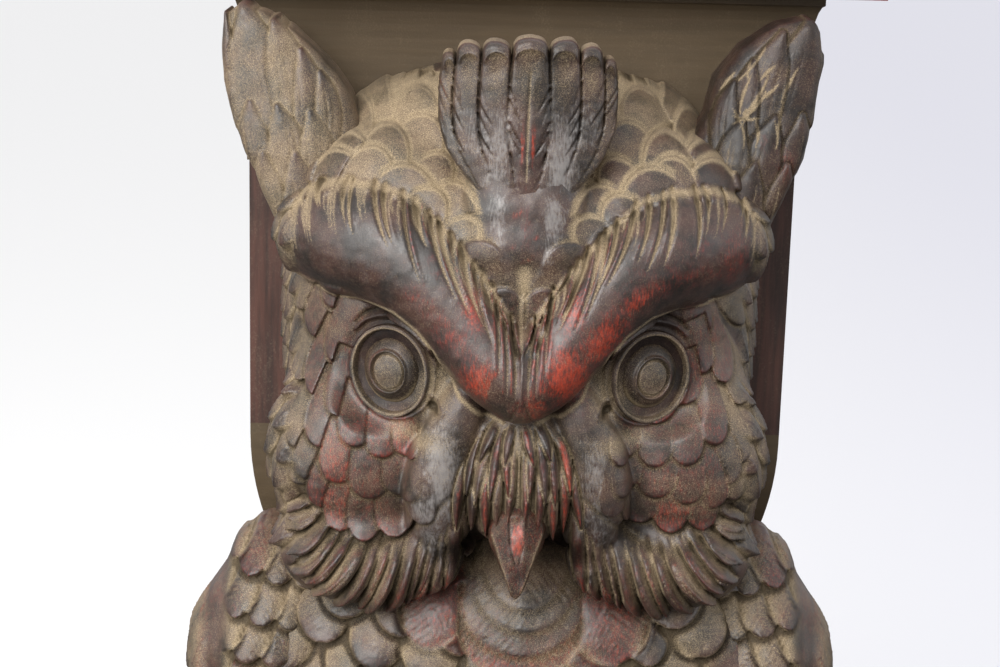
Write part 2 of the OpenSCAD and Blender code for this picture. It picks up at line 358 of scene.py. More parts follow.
class Form:
    """Signed distance on a voxel grid: below zero inside."""

    def __init__(self, low, high, voxel):
        self.low = np.array(low, float)
        self.voxel = voxel
        count = np.ceil((np.array(high) - self.low) / voxel).astype(int) + 1
        self.axes = [(self.low[k] + voxel * np.arange(count[k])).astype(np.float32) for k in range(3)]
        self.field = np.full(count, 40.0, np.float32)

    def block(self, low, high):
        a = np.clip(((np.array(low) - self.low) / self.voxel).astype(int), 0, self.field.shape)
        b = np.clip(((np.array(high) - self.low) / self.voxel).astype(int) + 2, 0, self.field.shape)
        area = tuple(slice(a[k], b[k]) for k in range(3))
        x = self.axes[0][area[0]][:, None, None]
        y = self.axes[1][area[1]][None, :, None]
        z = self.axes[2][area[2]][None, None, :]
        return area, x, y, z

    def merge(self, area, distance, blend):
        old = self.field[area]
        if blend <= 0:
            self.field[area] = np.minimum(old, distance)
            return
        h = np.clip(0.5 + 0.5 * (old - distance) / blend, 0, 1)
        self.field[area] = old + (distance - old) * h - blend * h * (1 - h)

    def cut(self, area, distance, blend):
        old = self.field[area]
        h = np.clip(0.5 - 0.5 * (old + distance) / blend, 0, 1)
        self.field[area] = old + (-distance - old) * h + blend * h * (1 - h)

    def ellipsoid(self, centre, radii, blend=0.0, power=2.0, carve=False):
        centre = np.array(centre, float)
        radii = np.array(radii, float)
        reach = radii * 1.25 + blend + 4
        area, x, y, z = self.block(centre - reach, centre + reach)
        q = np.abs((x - centre[0]) / radii[0]) ** power + np.abs((y - centre[1]) / radii[1]) ** power
        q = (q + np.abs((z - centre[2]) / radii[2]) ** power) ** (1 / power)
        distance = (q - 1) * float(radii.min())
        if carve:
            self.cut(area, distance, max(blend, 0.01))
        else:
            self.merge(area, distance, blend)

    def limb(self, points, blend=0.0, squeeze=(1, 1, 1)):
        """A round bar through points (x, y, z, radius), squeezed along the axes by these factors."""
        squeeze = np.array(squeeze, float)
        for p, q in zip(points[:-1], points[1:]):
            p = np.array(p, float)
            q = np.array(q, float)
            reach = max(p[3], q[3]) * 1.2 / squeeze.min() + blend + 4
            area, x, y, z = self.block(np.minimum(p[:3], q[:3]) - reach, np.maximum(p[:3], q[:3]) + reach)
            d = (q[:3] - p[:3]) * squeeze
            offset = [(c - p[k]) * squeeze[k] for k, c in enumerate((x, y, z))]
            t = sum(offset[k] * d[k] for k in range(3)) / max(float(d @ d), 1e-6)
            t = np.clip(t, 0, 1)
            square = sum((offset[k] - t * d[k]) ** 2 for k in range(3))
            self.merge(area, (np.sqrt(square) - (p[3] + (q[3] - p[3]) * t)) / float(squeeze.max()), blend)

    def plate(self, outline, face, thick, round_by):
        """An upright board cut to an outline of (x, z). face gives the depth of its front."""
        x = self.axes[0][:, None]
        z = self.axes[2][None, :]
        edge = polygon_distance(outline, x, z).astype(np.float32)[:, None, :]
        middle = (face(x, z) + thick / 2 + 0 * x).astype(np.float32)[:, None, :]
        depth = np.abs(self.axes[1][None, :, None] - middle) - thick / 2
        h = np.clip(0.5 + 0.5 * (depth - edge) / round_by, 0, 1)
        self.merge(slice(None), mix(edge, depth, h) + round_by * h * (1 - h), 0)

    def level(self, centre, normal, inner, outer):
        """Levels the form to a round flat, full out to inner and fading to outer."""
        centre = np.array(centre, float)
        area, x, y, z = self.block(centre - outer - 8, centre + outer + 8)
        offset = (x - centre[0], y - centre[1], z - centre[2])
        depth = sum(offset[k] * normal[k] for k in range(3))
        radial = np.sqrt(np.maximum(sum(o ** 2 for o in offset) - depth ** 2, 0))
        weight = smooth(outer, inner, radial) * smooth(20, 12, np.abs(depth))
        self.field[area] = mix(self.field[area], depth, weight)

    def raise_view(self, relief, axes, weight):
        """Adds a relief that lies in two axes and is seen along the third; weight is its share at each x."""
        u = self.axes[axes[0]][:, None]
        v = self.axes[axes[1]][None, :]
        height = np.expand_dims(relief.sample(relief.height, u, v).astype(np.float32), 3 - sum(axes))
        self.field -= height * weight(self.axes[0]).astype(np.float32)[:, None, None]

    def keep_in_front(self):
        """Cuts the form back to the pillar's front."""
        y = self.axes[1][None, :, None]
        z = self.axes[2][None, None, :]
        lower = np.where(z > HEAD_FOOT, POST_FRONT - 2, POST_FRONT)
        front = np.where(z > HEAD_FOOT + 40, BLOCK_FRONT, lower)
        lean = BLOCK_FRONT - 1 - 6 * ((z - CAPITAL_TOP + SLOPE) / SLOPE) ** 2
        front = np.where(z > CAPITAL_TOP - SLOPE, lean, front)
        self.field = np.maximum(self.field, (y - (front - AIR)).astype(np.float32))

    def keep_above(self, level):
        z = self.axes[2][None, None, :]
        self.field = np.maximum(self.field, level - z)

    def mesh(self, name):
        """The surface as a Blender mesh in metres, with its points in millimetres and its normals."""
        field = np.clip(self.field, -3 * self.voxel, 3 * self.voxel)
        for k in range(3):
            for end in (0, -1):
                index = [slice(None)] * 3
                index[k] = end
                field[tuple(index)] = 3 * self.voxel
        grid = openvdb.FloatGrid(3 * self.voxel)
        grid.copyFromArray(np.ascontiguousarray(field, dtype=np.float32))
        points, quads = grid.convertToQuads(0.0)
        points = points.astype(np.float64) * self.voxel + self.low
        return build_mesh(name, points, quads[:, ::-1]), points


def build_mesh(name, points, faces):
    mesh = bpy.data.meshes.new(name)
    faces = np.asarray(faces)
    mesh.vertices.add(len(points))
    mesh.vertices.foreach_set("co", (np.asarray(points) * MM).astype(np.float32).ravel())
    mesh.loops.add(faces.size)
    mesh.loops.foreach_set("vertex_index", faces.astype(np.int32).ravel())
    mesh.polygons.add(len(faces))
    sides = faces.shape[1]
    mesh.polygons.foreach_set("loop_start", np.arange(0, faces.size, sides, dtype=np.int32))
    mesh.polygons.foreach_set("loop_total", np.full(len(faces), sides, np.int32))
    mesh.update(calc_edges=True)
    mesh.polygons.foreach_set("use_smooth", np.ones(len(faces), bool))
    mesh.validate()
    return mesh


def normals_of(mesh):
    out = np.zeros(len(mesh.vertices) * 3, np.float32)
    mesh.vertex_normals.foreach_get("vector", out)
    return out.reshape(-1, 3)


def give_attribute(mesh, name, values, least=0.0):
    """Stores a value from least to 1 at each point."""
    layer = mesh.attributes.new(name, "FLOAT", "POINT")
    layer.data.foreach_set("value", np.clip(values, least, 1).astype(np.float32))


def add_piece(mesh, material, slot, *nodes):
    piece = bpy.data.objects.new(mesh.name, mesh)
    bpy.context.scene.collection.objects.link(piece)
    mesh.materials.append(material)
    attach(piece, "root")
    if nodes:
        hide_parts(*nodes)
    return piece


def finish_carving(mesh, dust, wear_and_sheen, shade, up_dust):
    """Stores what the material reads at each point. up_dust is what lies on a face that looks up."""
    up = smooth(0.25, 0.95, normals_of(mesh)[:, 2])
    give_attribute(mesh, "dust", dust + up_dust * up)
    give_attribute(mesh, "wear_and_sheen", wear_and_sheen, -1.0)
    give_attribute(mesh, "shade", shade)


def everywhere(x):
    return np.ones_like(x)


def carve(form, name, node, material, views, up_dust=0.3, extra_dust=None, against_pillar=True, side=1):
    """Cuts the reliefs into a form and makes the piece. A view is a relief, its axes and its share at each x.
    side is -1 for a piece that is drawn on the right and then mirrored."""
    for relief, axes, weight in views:
        form.raise_view(relief, axes, weight)
    if against_pillar:
        form.keep_in_front()
    mesh, points = form.mesh(name)
    layers = []
    for layer in ("dust", "wear_and_sheen", "shade"):
        total = 0
        for relief, axes, weight in views:
            seen = relief.sample(getattr(relief, layer), points[:, axes[0]], points[:, axes[1]])
            total = total + seen * weight(points[:, 0])
        layers.append(total)
    if extra_dust is not None:
        layers[0] = layers[0] + extra_dust(points)
    if side < 0:
        mesh.transform(Matrix.Diagonal((-1, 1, 1, 1)))
        mesh.flip_normals()
    finish_carving(mesh, *layers, up_dust(points) if callable(up_dust) else up_dust)
    return add_piece(mesh, material, "carved_wood", node)


def side_name(side):
    return "left" if side < 0 else "right"


def seen_whole(relief, axes=FRONT):
    """The one view of a piece whose relief counts everywhere."""
    return [(relief, axes, everywhere)]


# ---------------------------------------------------------------- head

BROW = [(-73, -72, 611, 17), (-65, -81, 612.5, 19.5), (-53, -90, 611.5, 20.5), (-39, -98, 605, 19),
        (-28, -104.5, 595, 16.5), (-18, -111, 583, 14), (-9, -115.5, 572, 13), (0, -117, 565, 12)]
BROW_TOP = [(-88, 616), (-80, 628), (-68, 633), (-53, 633), (-41, 630), (-31, 622), (-21, 612), (-11, 600),
            (-4, 589)]
BROW_LOW = [(-88, 604), (-84, 597), (-76, 592), (-66, 590), (-55, 591.5), (-46, 590), (-37, 584), (-31, 577),
            (-27, 569), (-22, 560), (-14, 553), (-6, 551)]
EYE_TURN = math.radians(27)
EYE_R = 16.0
# Tips of the rounded cheek feathers, (distance from the middle, height, length, width), outermost row first
CHEEK = {
    -1: [
        (85, 556, 30, 12), (84, 534, 30, 13), (83, 520, 26, 12), (86, 580, 30, 12), (78, 604, 24, 12),
        (80, 523, 28, 14), (74, 512, 26, 15), (67, 504, 26, 15), (57, 501, 26, 15), (45, 502, 25, 15),
        (34, 511, 20, 12), (78, 572, 30, 14), (77, 553, 30, 14), (75, 536, 28, 15), (68, 523, 27, 16),
        (55, 517, 26, 17), (42, 518, 24, 15), (71, 585, 22, 11), (69, 565, 26, 12), (67, 547, 25, 14),
        (61, 537, 22, 14), (50, 533, 19, 13), (41, 534, 15, 10)],
    1: [
        (85, 552, 30, 12), (84, 532, 30, 13), (83, 518, 26, 12), (86, 578, 30, 12), (80, 602, 24, 12),
        (80, 525, 28, 14), (71, 507, 26, 14), (58, 506, 26, 15), (45, 509, 22, 14), (34, 516, 18, 11),
        (75, 516, 26, 13), (64, 518, 26, 15), (51, 520, 26, 16), (39, 523, 20, 12), (78, 560, 32, 12),
        (74, 540, 28, 13), (63, 533, 24, 14), (50, 532, 22, 14), (38, 535, 18, 12), (67, 577, 22, 11),
        (68, 564, 22, 12), (62, 553, 21, 14), (52, 547, 18, 14), (42, 550, 14, 11)],
}


def mirrored(points, side):
    """The same points on the other side when side is 1. They are written for the left, where x is below 0."""
    return [(-side * p[0],) + tuple(p[1:]) for p in points]


def eye_place(side, depth=0.0):
    """Middle of an eye, that far in front of its rest, and the way that it looks."""
    turn = side * EYE_TURN
    axis = np.array([math.sin(turn), -math.cos(turn), 0.0])
    return np.array([side * 47.0, -97.0, EYE_Z]) + depth * axis, axis


def head_form(voxel):
    """Skull, brows, cheeks, ruffs and the crest's neck, before any feather is cut."""
    form = Form((-100, -142, 462), (100, BLOCK_FRONT + 2, 678), voxel)
    form.ellipsoid((0, -17, 574), (91, 87, 97), power=2.6)
    form.limb([(0, -84, 654, 10), (0, -91, 640, 13)], blend=9)
    for side in SIDES:
        neck = [(side * 7.5, -92, 648, 10), (side * 7.5, -98.2, 636, 11.4), (side * 7.5, -99.4, 626, 12.6),
                (side * 8, -101.4, 612, 13), (side * 4, -102, 592, 11)]
        form.limb(neck, blend=4)
    form.limb([(0, -99.4, 626, 13), (0, -101, 614, 13), (0, -101.5, 603, 13)], blend=5)
    for side in SIDES:
        shelf = [(-66, -66, 624, 16), (-50, -74, 626, 17), (-36, -82, 618, 17), (-22, -90, 604, 16),
                 (-10, -97, 590, 14)]
        form.limb(spline(mirrored(shelf, side), 14), blend=9)
        form.ellipsoid((side * 57, -75, 528), (35, 27, 38), blend=8)
        form.ellipsoid((side * 56, -80, 490), (33, 27, 20), blend=7)
        form.limb([(side * 34, -91, 494, 12), (side * 26, -96, 492, 9)], blend=7)
        ridge = [(19, -105, 560, 5.5), (23, -106, 549, 7.5), (27, -106, 536, 8.5), (28.5, -103.5, 522, 9.5),
                 (27, -99, 508, 10)]
        form.limb(spline([(side * x, y, z, r) for x, y, z, r in ridge], 14), blend=5)
        centre, axis = eye_place(side)
        form.level(centre, axis, 17.5, 25)
    form.ellipsoid((0, -98, 482), (21, 40, 22), blend=5, carve=True)
    form.limb([(0, -104, 550, 9), (-3, -105, 540, 13), (-5, -104, 526, 15), (-4, -104, 517, 14)], blend=4)
    form.limb([(0, -104, 550, 9), (3, -105, 540, 13), (5, -104, 526, 15), (4, -104, 517, 14)], blend=4)
    for side in SIDES:
        form.limb(spline(mirrored(BROW, side), 30), blend=2.6)
    return form


def paint_brow(relief, side):
    """Tapered grooves that are filled with dust run down from the brow's upper edge."""
    rng = np.random.default_rng(11 if side < 0 else 13)
    relief.clear([(-side * x, z, r) for x, _, z, r in spline(BROW, 30)])
    top = mirrored(BROW_TOP, side)
    relief.stroke(top, (3, 4, 4, 3, 3) if side < 0 else (2, 3, 3, 3, 3), 0.0, dust=0.7)
    for _ in range(60 if side < 0 else 26):
        t = 0.02 + 0.9 * rng.random()
        x, z = along(top, t)
        reach = mix(6, 20, rng.random()) * np.interp(t, [0, 0.3, 1], [1, 0.8, 0.5])
        line = bezier((x, z), (x + side * 1.5, z - reach * 0.5), (x - side * reach * 0.25 * t, z - reach))
        relief.stroke(line, (1.6, 0.9, 0.2), -0.15, dust=0.55)
    count = 20
    for i in range(count):
        t = (i + 0.9 * rng.random()) / count
        x, z = along(top, t)
        slope = math.radians(mix(-98, -68, smooth(0.05, 0.7, t)) + rng.normal(0, 5))
        length = np.interp(t, [0, 0.12, 0.3, 0.6, 1], [4, 9, 20, 30, 22]) * (0.4 + 0.75 * rng.random())
        run = np.array([-side * math.cos(slope), math.sin(slope)]) * length
        bend = np.array([x, z]) + run * 0.45 + np.array([side * 3.0, 1.5])
        line = bezier((x, z + 1.0), bend, (x + run[0], z + run[1]))
        wide = mix(1.3, 3.4, rng.random()) * np.interp(t, [0, 0.2, 0.8, 1], [0.6, 1, 1, 0.7])
        relief.stroke(line, (wide, wide * 0.85, wide * 0.5, 0.2), -1.3,
                      dust=0.8 * rng.random() ** 0.4 * mix(1, 0.4, smooth(0.7, 0.95, t)), shade=0.2)
        rib = line + np.array([-side * (wide * 0.5 + 0.6), 0])
        relief.stroke(rib[1:], (0.6, 1.0, 0.3), 0.5, wear_and_sheen=0.8 * smooth(0.25, 0.5, t))
    relief.stroke(mirrored(BROW_LOW, side), (1.0, 1.3, 1.5, 1.8), 0.3, dust=0.8)
    patches = [(-36, 594, 14, 6, 0.75, 0.35), (-25, 585, 12, 7, 0.85, 0.75), (-14, 570, 10, 10, 0.9, 0.95),
               (-5, 560, 6, 9, 0, 0.9), (-30, 607, 4, 9, -0.4, 0.45), (-18, 594, 5, 10, -0.3, 0.9),
               (-54, 598, 12, 4, 0.2, 0.15)]
    if side > 0:
        patches += [(-76, 609, 8, 13, 0.2, 0.75), (-64, 616, 8, 6, 0, 0.55), (-40, 598, 12, 5, 0.7, 0.9),
                    (-28, 584, 14, 8, 0.9, 1.0), (-16, 572, 10, 14, 0.3, 1.1), (-47, 612, 5, 9, 0, 0.4)]
    for x, z, rx, rz, turn, wear_and_sheen in patches:
        relief.spot((-side * x, z), (rx * 1.25, rz * 1.25), wear_and_sheen=wear_and_sheen, turn=side * turn)
    low = [(x, z - 0.35 * r) for x, _, z, r in BROW[(0 if side > 0 else 3):]]
    relief.stroke(mirrored(low, side), (12, 16, 16), 0.0, wear_and_sheen=0.62)
    if side > 0:
        relief.stroke(mirrored([(x, z) for x, _, z, _ in BROW], side), (30, 30, 24), 0.0, wear_and_sheen=0.4)


def paint_cheek(relief, side):
    """Rounded feathers around the outer and lower side of the eye, then the swept strands of the ruff."""
    rng = np.random.default_rng(5)
    starts = [(22, 515), (25, 510), (29, 507), (33, 506), (38, 506), (45, 506), (53, 506), (62, 509),
              (74, 516)]
    ends = [(25, 482), (33, 474), (41, 470), (49, 467.5), (58, 467), (66, 470), (75, 476), (84, 487),
            (93, 504)]
    strands = 14
    for i in reversed(range(strands)):
        t = (i + 0.25 * rng.random()) / (strands - 1)
        clump = 0.025 * math.sin(i * 2 * math.pi / 3.6)
        start = along(starts, min(t, 1))
        tip = along(ends, float(np.clip(t + clump, 0, 1))) + rng.normal(0, 1.4, 2)
        bend = start + (tip - start) * (0.28, 0.62) + rng.normal(0, 0.8, 2)
        line = bezier(start, bend, tip, 12)
        wide = mix(5.6, 9.0, rng.random())
        worn = rng.random() * max(1 - t, 0) ** 0.7
        relief.blade(line * np.array([side, 1]), (wide * 0.6, wide * 0.9, wide, wide * 0.8, 0.6),
                     mix(3.2, 4.6, rng.random()), crown=0.75, lean=-0.45 * side, rise=(0.2, 0.8, 1, 1, 0.6),
                     gap=0.9, cut=1.0, dust=0.24 + 0.3 * t * rng.random(), rim_dust=0.4 + 0.2 * t,
                     gap_dust=0.7, gap_shade=0.34, wear_and_sheen=0.4 + 0.7 * worn, ridge=1.6, fade=0.3)
        for _ in range(rng.integers(1, 4)):
            fine = line[4:] * np.array([side, 1]) + (rng.uniform(-0.3, 0.3) * wide, 0)
            relief.stroke(fine, (0.3, 0.9, 0.5), -0.8, shade=0.3, dust=0.5 * rng.random())
    under = spline([(24, 523), (34, 513), (45, 503), (58, 500), (68, 503), (77, 511), (83, 520)], 24)
    relief.stroke(under * np.array([side, 1]), (2, 5, 5, 4), -1.0, dust=0.25, shade=0.4)
    for k, (x, z, length, width) in enumerate(CHEEK[side]):
        angle = math.radians(-90 + side * 0.75 * (x - 45))
        outer = smooth(76, 84, x)
        relief.feather((side * x, z), angle, length, width * 1.05, 2.1, seed=k, point=2.3,
                       rim_dust=0.10 + 0.4 * outer, face_dust=0.14 + 0.22 * outer,
                       face_wear=(0.5 + 0.25 * rng.random()) * (1 - 0.7 * outer), gap_shade=0.55,
                       gap_dust=0.35 + 0.2 * outer, crown=0.6)
    # Painted highlights: a grey sheen along the cheekbone ridge and on the inner ruff, stronger on the
    # viewer's left.
    for x, z, rx, rz, share in ((28, 534, 6.5, 17, 0.95), (34, 517, 10, 7, 0.7), (30, 500, 9, 12, 0.6)):
        relief.paint_sheen((side * x, z), (rx, rz), share * (1.0 if side < 0 else 0.6))


def paint_crown(relief, side):
    """Feathers of the crown point up, away from the brow; their rims catch the dust."""
    rng = np.random.default_rng(23)
    for k in range(9):
        foot = np.array([-80 + 4.0 * k, 632 + 1.0 * k])
        tip = np.array([-58 + 5.5 * k, 661 + 1.6 * k - 0.1 * k * k])
        line = bezier(foot, (foot + tip) / 2 + (-5, 5), tip) * np.array([-side, 1])
        relief.blade(line, (4, 7, 6, 2), 1.5, dust=0.75, rim_dust=0.95, gap_dust=0.7, gap_shade=0.15,
                     cut=0.5)
    rows = 6
    for row in reversed(range(rows)):
        count = 8
        for i in range(count):
            t = 0.16 + 0.86 * (i + 0.5 * (row % 2)) / count
            x, z = along(BROW_TOP, min(t, 1))
            ahead = along(BROW_TOP, min(t + 0.02, 1)) - along(BROW_TOP, max(t - 0.02, 0))
            normal = np.array([-ahead[1], ahead[0]]) / np.linalg.norm(ahead)
            place = np.array([x, z]) + normal * (10 + 8.5 * row) + rng.normal(0, 1.8, 2)
            if place[0] > -2 or place[1] > 674 or (t < 0.3 and row > 0):
                continue
            bare = (1.1 if side > 0 else 0.7) * smooth(6, 0, row - 2 * t + 1) * (0.6 + 0.4 * rng.random())
            angle = math.atan2(normal[1], -side * normal[0] * 0.7) + side * 0.25 + rng.normal(0, 0.14)
            relief.feather((-side * place[0], place[1]), angle, 22, mix(23, 15, t) + rng.normal(0, 2), 2.4,
                           seed=i + 31 * row, point=2.0, rim_dust=0.95, face_dust=0.7 - 0.62 * bare,
                           face_wear=0.25 * bare, crown=0.3, gap_shade=0.25, gap_dust=0.7)


def paint_eye_surround(relief, side):
    """Lids, the fold under the brow and the notch of the inner corner."""
    eye = np.array([side * 46.5, EYE_Z])
    relief.clear([(eye[0], EYE_Z - 1, 16), (eye[0], EYE_Z + 1, 16)])
    relief.clear([(side * 52, 588, 6), (side * 42, 586, 6), (side * 31, 574, 6), (side * 27, 560, 5)])
    relief.spot((side * 46, 573), (22, 18), shade=0.85)
    relief.spot((side * 31, 562), (7, 15), dust=0.6, shade=0.3, turn=side * 0.3)
    relief.spot((side * 37, 543), (13, 5), dust=0.5)
    turn = np.radians(np.arange(0, 361, 12))
    ring = [eye + np.array([side * 15.8 * math.cos(a), 17.8 * math.sin(a)]) for a in turn]
    relief.stroke(ring, (1.4, 1.4, 1.4), 0.9, dust=0.1)
    lid = [(-60.5, 579), (-56.5, 583), (-49, 585.5), (-40, 583.5), (-33, 577), (-30, 569)]
    lid = spline(mirrored(lid, side), 24)
    relief.stroke(lid, (1.2, 2.2, 2.0, 0.9), 1.4)
    relief.stroke(lid + (0, 2.6), (1.0, 1.8, 1.4, 0.8), -0.9, shade=0.9)
    relief.spot((side * 31.5, 554), (2.6, 1.8), height=-2.2, shade=1.0, turn=side * 0.6)
    relief.stroke([(side * 34, 558.5), (side * 30, 557.5), (side * 27.5, 554), (side * 29, 550.5)],
                  (0.8, 1.2, 1.1, 0.6), 0.8, dust=0.4)


# Bristles over the beak: root, bend and tip as (distance from the middle, height), then the width
BRISTLES = [((16, 540), (21.5, 528), (20.5, 511), 4.4), ((13, 543), (17.5, 530), (16.5, 508), 4.6),
            ((9.5, 545), (13, 531), (12, 507), 4.6), ((6, 547), (8.5, 531), (7.5, 509), 4.2),
            ((2, 547), (3, 530), (2.8, 512), 3.8), ((13, 547), (18.5, 539), (19.5, 524), 4.0),
            ((9, 549), (13.5, 539), (14.5, 521), 4.4), ((6, 550), (8.5, 540), (9.5, 523), 4.0),
            ((3, 551), (4, 541), (4.6, 525), 3.6), ((6, 552), (10, 547), (12.5, 537), 3.4),
            ((2, 552), (3.8, 546), (5.5, 537), 3.2)]


def paint_middle(relief):
    """The thin ridge between the brows and the bristles over the beak."""
    for side in SIDES:
        for x, top, low in ((10.5, 602, 572), (7.5, 596, 566), (4.6, 590, 564)):
            line = bezier((side * x, top), (side * (x - 2.8), (top + low) / 2), (side * (x - 2.4), low))
            relief.stroke(line, (0.6, 1.5, 1.0, 0.3), -0.9, dust=0.25, shade=0.3)
            relief.stroke(line + (side * 1.4, 0), (0.5, 1.2, 0.4), 0.4, wear_and_sheen=0.9)
    relief.stroke([(0, 606), (0, 596), (-0.3, 580)], (7, 4.0, 1.2), -0.9, dust=0.65)
    relief.stroke([(0, 598), (0, 580), (0, 562)], (1.2, 1.6, 0.8), 1.3, dust=0.2)
    for side in SIDES:
        relief.stroke(bezier((side * 1, 563), (side * 2.5, 557), (side * 6, 551)), (0.6, 1.2, 0.8), -0.5,
                      shade=0.5)
    rng = np.random.default_rng(3)
    relief.spot((0, 534), (20, 20), dust=0.5)
    relief.spot((0, 505), (17, 12), shade=0.6)
    for side in SIDES:
        relief.spot((side * 20, 497), (5, 12), shade=0.95, turn=-side * 0.3)
    for start, bend, end, wide in BRISTLES:
        for side in SIDES:
            line = bezier(start, bend, end, 12) + rng.normal(0, 0.5, 2)
            line[6:] += np.linspace(0, 1, 6)[:, None] * rng.normal(0, 0.9, 2)
            relief.blade(line * np.array([side, 1]), (wide * 0.5, wide, wide * 1.1, wide * 0.8, 0.5),
                         mix(2.2, 3.2, rng.random()), crown=0.9, rise=(0.1, 0.6, 1, 1.1), gap=0.9, cut=0.9,
                         dust=0.1 + 0.3 * rng.random(), rim_dust=0.5, gap_dust=0.75, gap_shade=0.4,
                         wear_and_sheen=0.2 + 0.9 * rng.random(), ridge=1.4, fade=0.25)


def paint_temple(relief):
    """Long overlapping feathers on the side of the head, seen from the side: u is y and v is z."""
    rng = np.random.default_rng(41)
    for row, i, place in brick(range(13), range(8)):
        y = -14 - 12 * place + rng.normal(0, 0.8)
        relief.feather((y, 492 + 11.5 * row), math.radians(-76 + rng.normal(0, 4)), 26, 13.5, 3.0,
                       seed=i + 7 * row, point=1.8, shaft=0.4, barbs=0.18, rim_dust=0.7, face_dust=0.3,
                       face_wear=0.15, gap_shade=0.6, gap_dust=0.4, crown=0.6)


def paint_crest_foot(relief):
    """The smooth worn neck that the crest springs from, with a feather on each side of it."""
    u, v = relief.grid()
    beside_neck = np.abs(u) - 0.4 * np.clip(v - 636, 0, 60)
    relief.height *= np.where(v > 596, smooth(11, 27, beside_neck), 1)
    relief.clear([(0, 646, 20), (0, 634, 18), (0, 622, 15), (0, 610, 11)])
    for side in SIDES:
        relief.feather((side * 19, 617), math.radians(90 - side * 22), 22, 20, 1.6, rim_dust=0.25,
                       face_dust=0.25, face_wear=0.3, crown=0.3, gap_shade=0.35, gap_dust=0.3)
        relief.feather((side * 9, 601), math.radians(90 - side * 12), 20, 17, 1.4, rim_dust=0.2,
                       face_dust=0.22, face_wear=0.45, crown=0.3, gap_shade=0.3, gap_dust=0.3)
    relief.clear([(0, 640, 17), (0, 624, 14), (0, 609, 7)])
    relief.spot((0, 606), (9, 6), dust=0.3)
    relief.spot((0, 620), (5, 14), wear_and_sheen=0.6)
    # Painted highlights: a grey sheen on each side of the crest's neck.
    for x, z, rx, rz, share in ((-9, 626, 4.5, 9, 0.7), (10, 625, 4.5, 9, 0.8), (-7, 612, 4, 6, 0.4),
                                (8, 612, 4, 6, 0.5)):
        relief.paint_sheen((x, z), (rx, rz), share)
    for x, z, reach in ((-3, 627, 4), (4, 619, 3), (-5, 615, 3), (1, 611, 4)):
        relief.spot((x, z), (reach, 1.6), wear_and_sheen=0.75, turn=0.6)


def make_head(material):
    front = Relief((-101, 462), (101, 678), 0.35)
    for side in SIDES:
        paint_crown(front, side)
    paint_crest_foot(front)
    for side in SIDES:
        paint_cheek(front, side)
        paint_eye_surround(front, side)
        paint_brow(front, side)
    paint_middle(front)
    front.roughen((0.10, 2.6, 1), (0.20, 9, 2))
    front.settle(0.16, 0.42, 3.0)
    temple = Relief((-150, 462), (0, 678), 0.5)
    paint_temple(temple)
    temple.settle(0.3, 0.5, 3.4)

    def beside(x):
        return smooth(80, 88, np.abs(x))

    def ahead(x):
        return 1 - beside(x)

    def up_dust(points):
        return mix(0.06, 0.32, smooth(618, 640, points[:, 2])) - 0.3 * smooth(6, 36, points[:, 0])

    views = [(front, FRONT, ahead), (temple, BESIDE, beside)]
    carve(head_form(FINE), "head", "owl_head", material, views, up_dust)


def make_beak(material):
    """A short beak with a narrow flat down its front."""
    form = Form((-22, -148, 482), (22, -94, 530), FINE * 0.7)
    form.limb([(0, -107, 518, 11), (0, -115, 510, 10.5), (0, -132.5, 489.5, 0.8)], blend=1.0)
    x, y, z = form.axes[0][:, None, None], form.axes[1][None, :, None], form.axes[2][None, None, :]
    keel = -y - 126.2 + 0.62 * np.abs(x) - 0.32 * (509 - z)
    flat = -y - 124.6 - 0.32 * (509 - z) + 0 * x
    form.field = np.maximum(form.field, np.maximum(keel, flat).astype(np.float32) * 0.85)
    front = Relief((-22, 482), (22, 530), 0.3)
    for side in SIDES:
        front.stroke([(side * 9.0, 511), (side * 5.6, 502), (side * 1.6, 492.5)], (1.0, 1.2, 0.4), 0.5,
                     dust=0.35)
        front.stroke([(side * 3.3, 518), (side * 2.6, 509), (side * 0.6, 502)], (0.7, 0.8, 0.3), -0.35,
                     shade=0.6)
    u, v = front.grid()
    front.roughen((0.22, 2.4, 11), (0.25, 5, 12))
    front.wear_and_sheen += 0.66
    front.dust += 0.16
    front.shade += 0.62
    front.spot((0.3, 510.5), (3.0, 7), wear_and_sheen=1.5)
    front.wipe((0.3, 510.5), (3, 6), 0.9)
    front.shade *= 1 - np.exp(-((u - 0.3) / 2.8) ** 4 - ((v - 511) / 6.5) ** 4)
    front.spot((0, 495), (2.4, 4), wear_and_sheen=0.55)
    front.spot((0, 501.5), (4.0, 2.8), shade=0.5)
    carve(form, "beak_ridge", "beak", material, seen_whole(front), 0.35, against_pillar=False)


def turned(profile, count):
    """Points and faces of a profile of (radius, height) turned about its axis."""
    profile = np.array(profile, float)
    angle = np.linspace(0, 2 * np.pi, count, endpoint=False)
    points = [[r * math.cos(a), r * math.sin(a), h] for r, h in profile for a in angle]
    faces = []
    for k in range(len(profile) - 1):
        for i in range(count):
            j = (i + 1) % count
            faces.append((k * count + i, k * count + j, (k + 1) * count + j, (k + 1) * count + i))
    return np.array(points), np.array(faces)


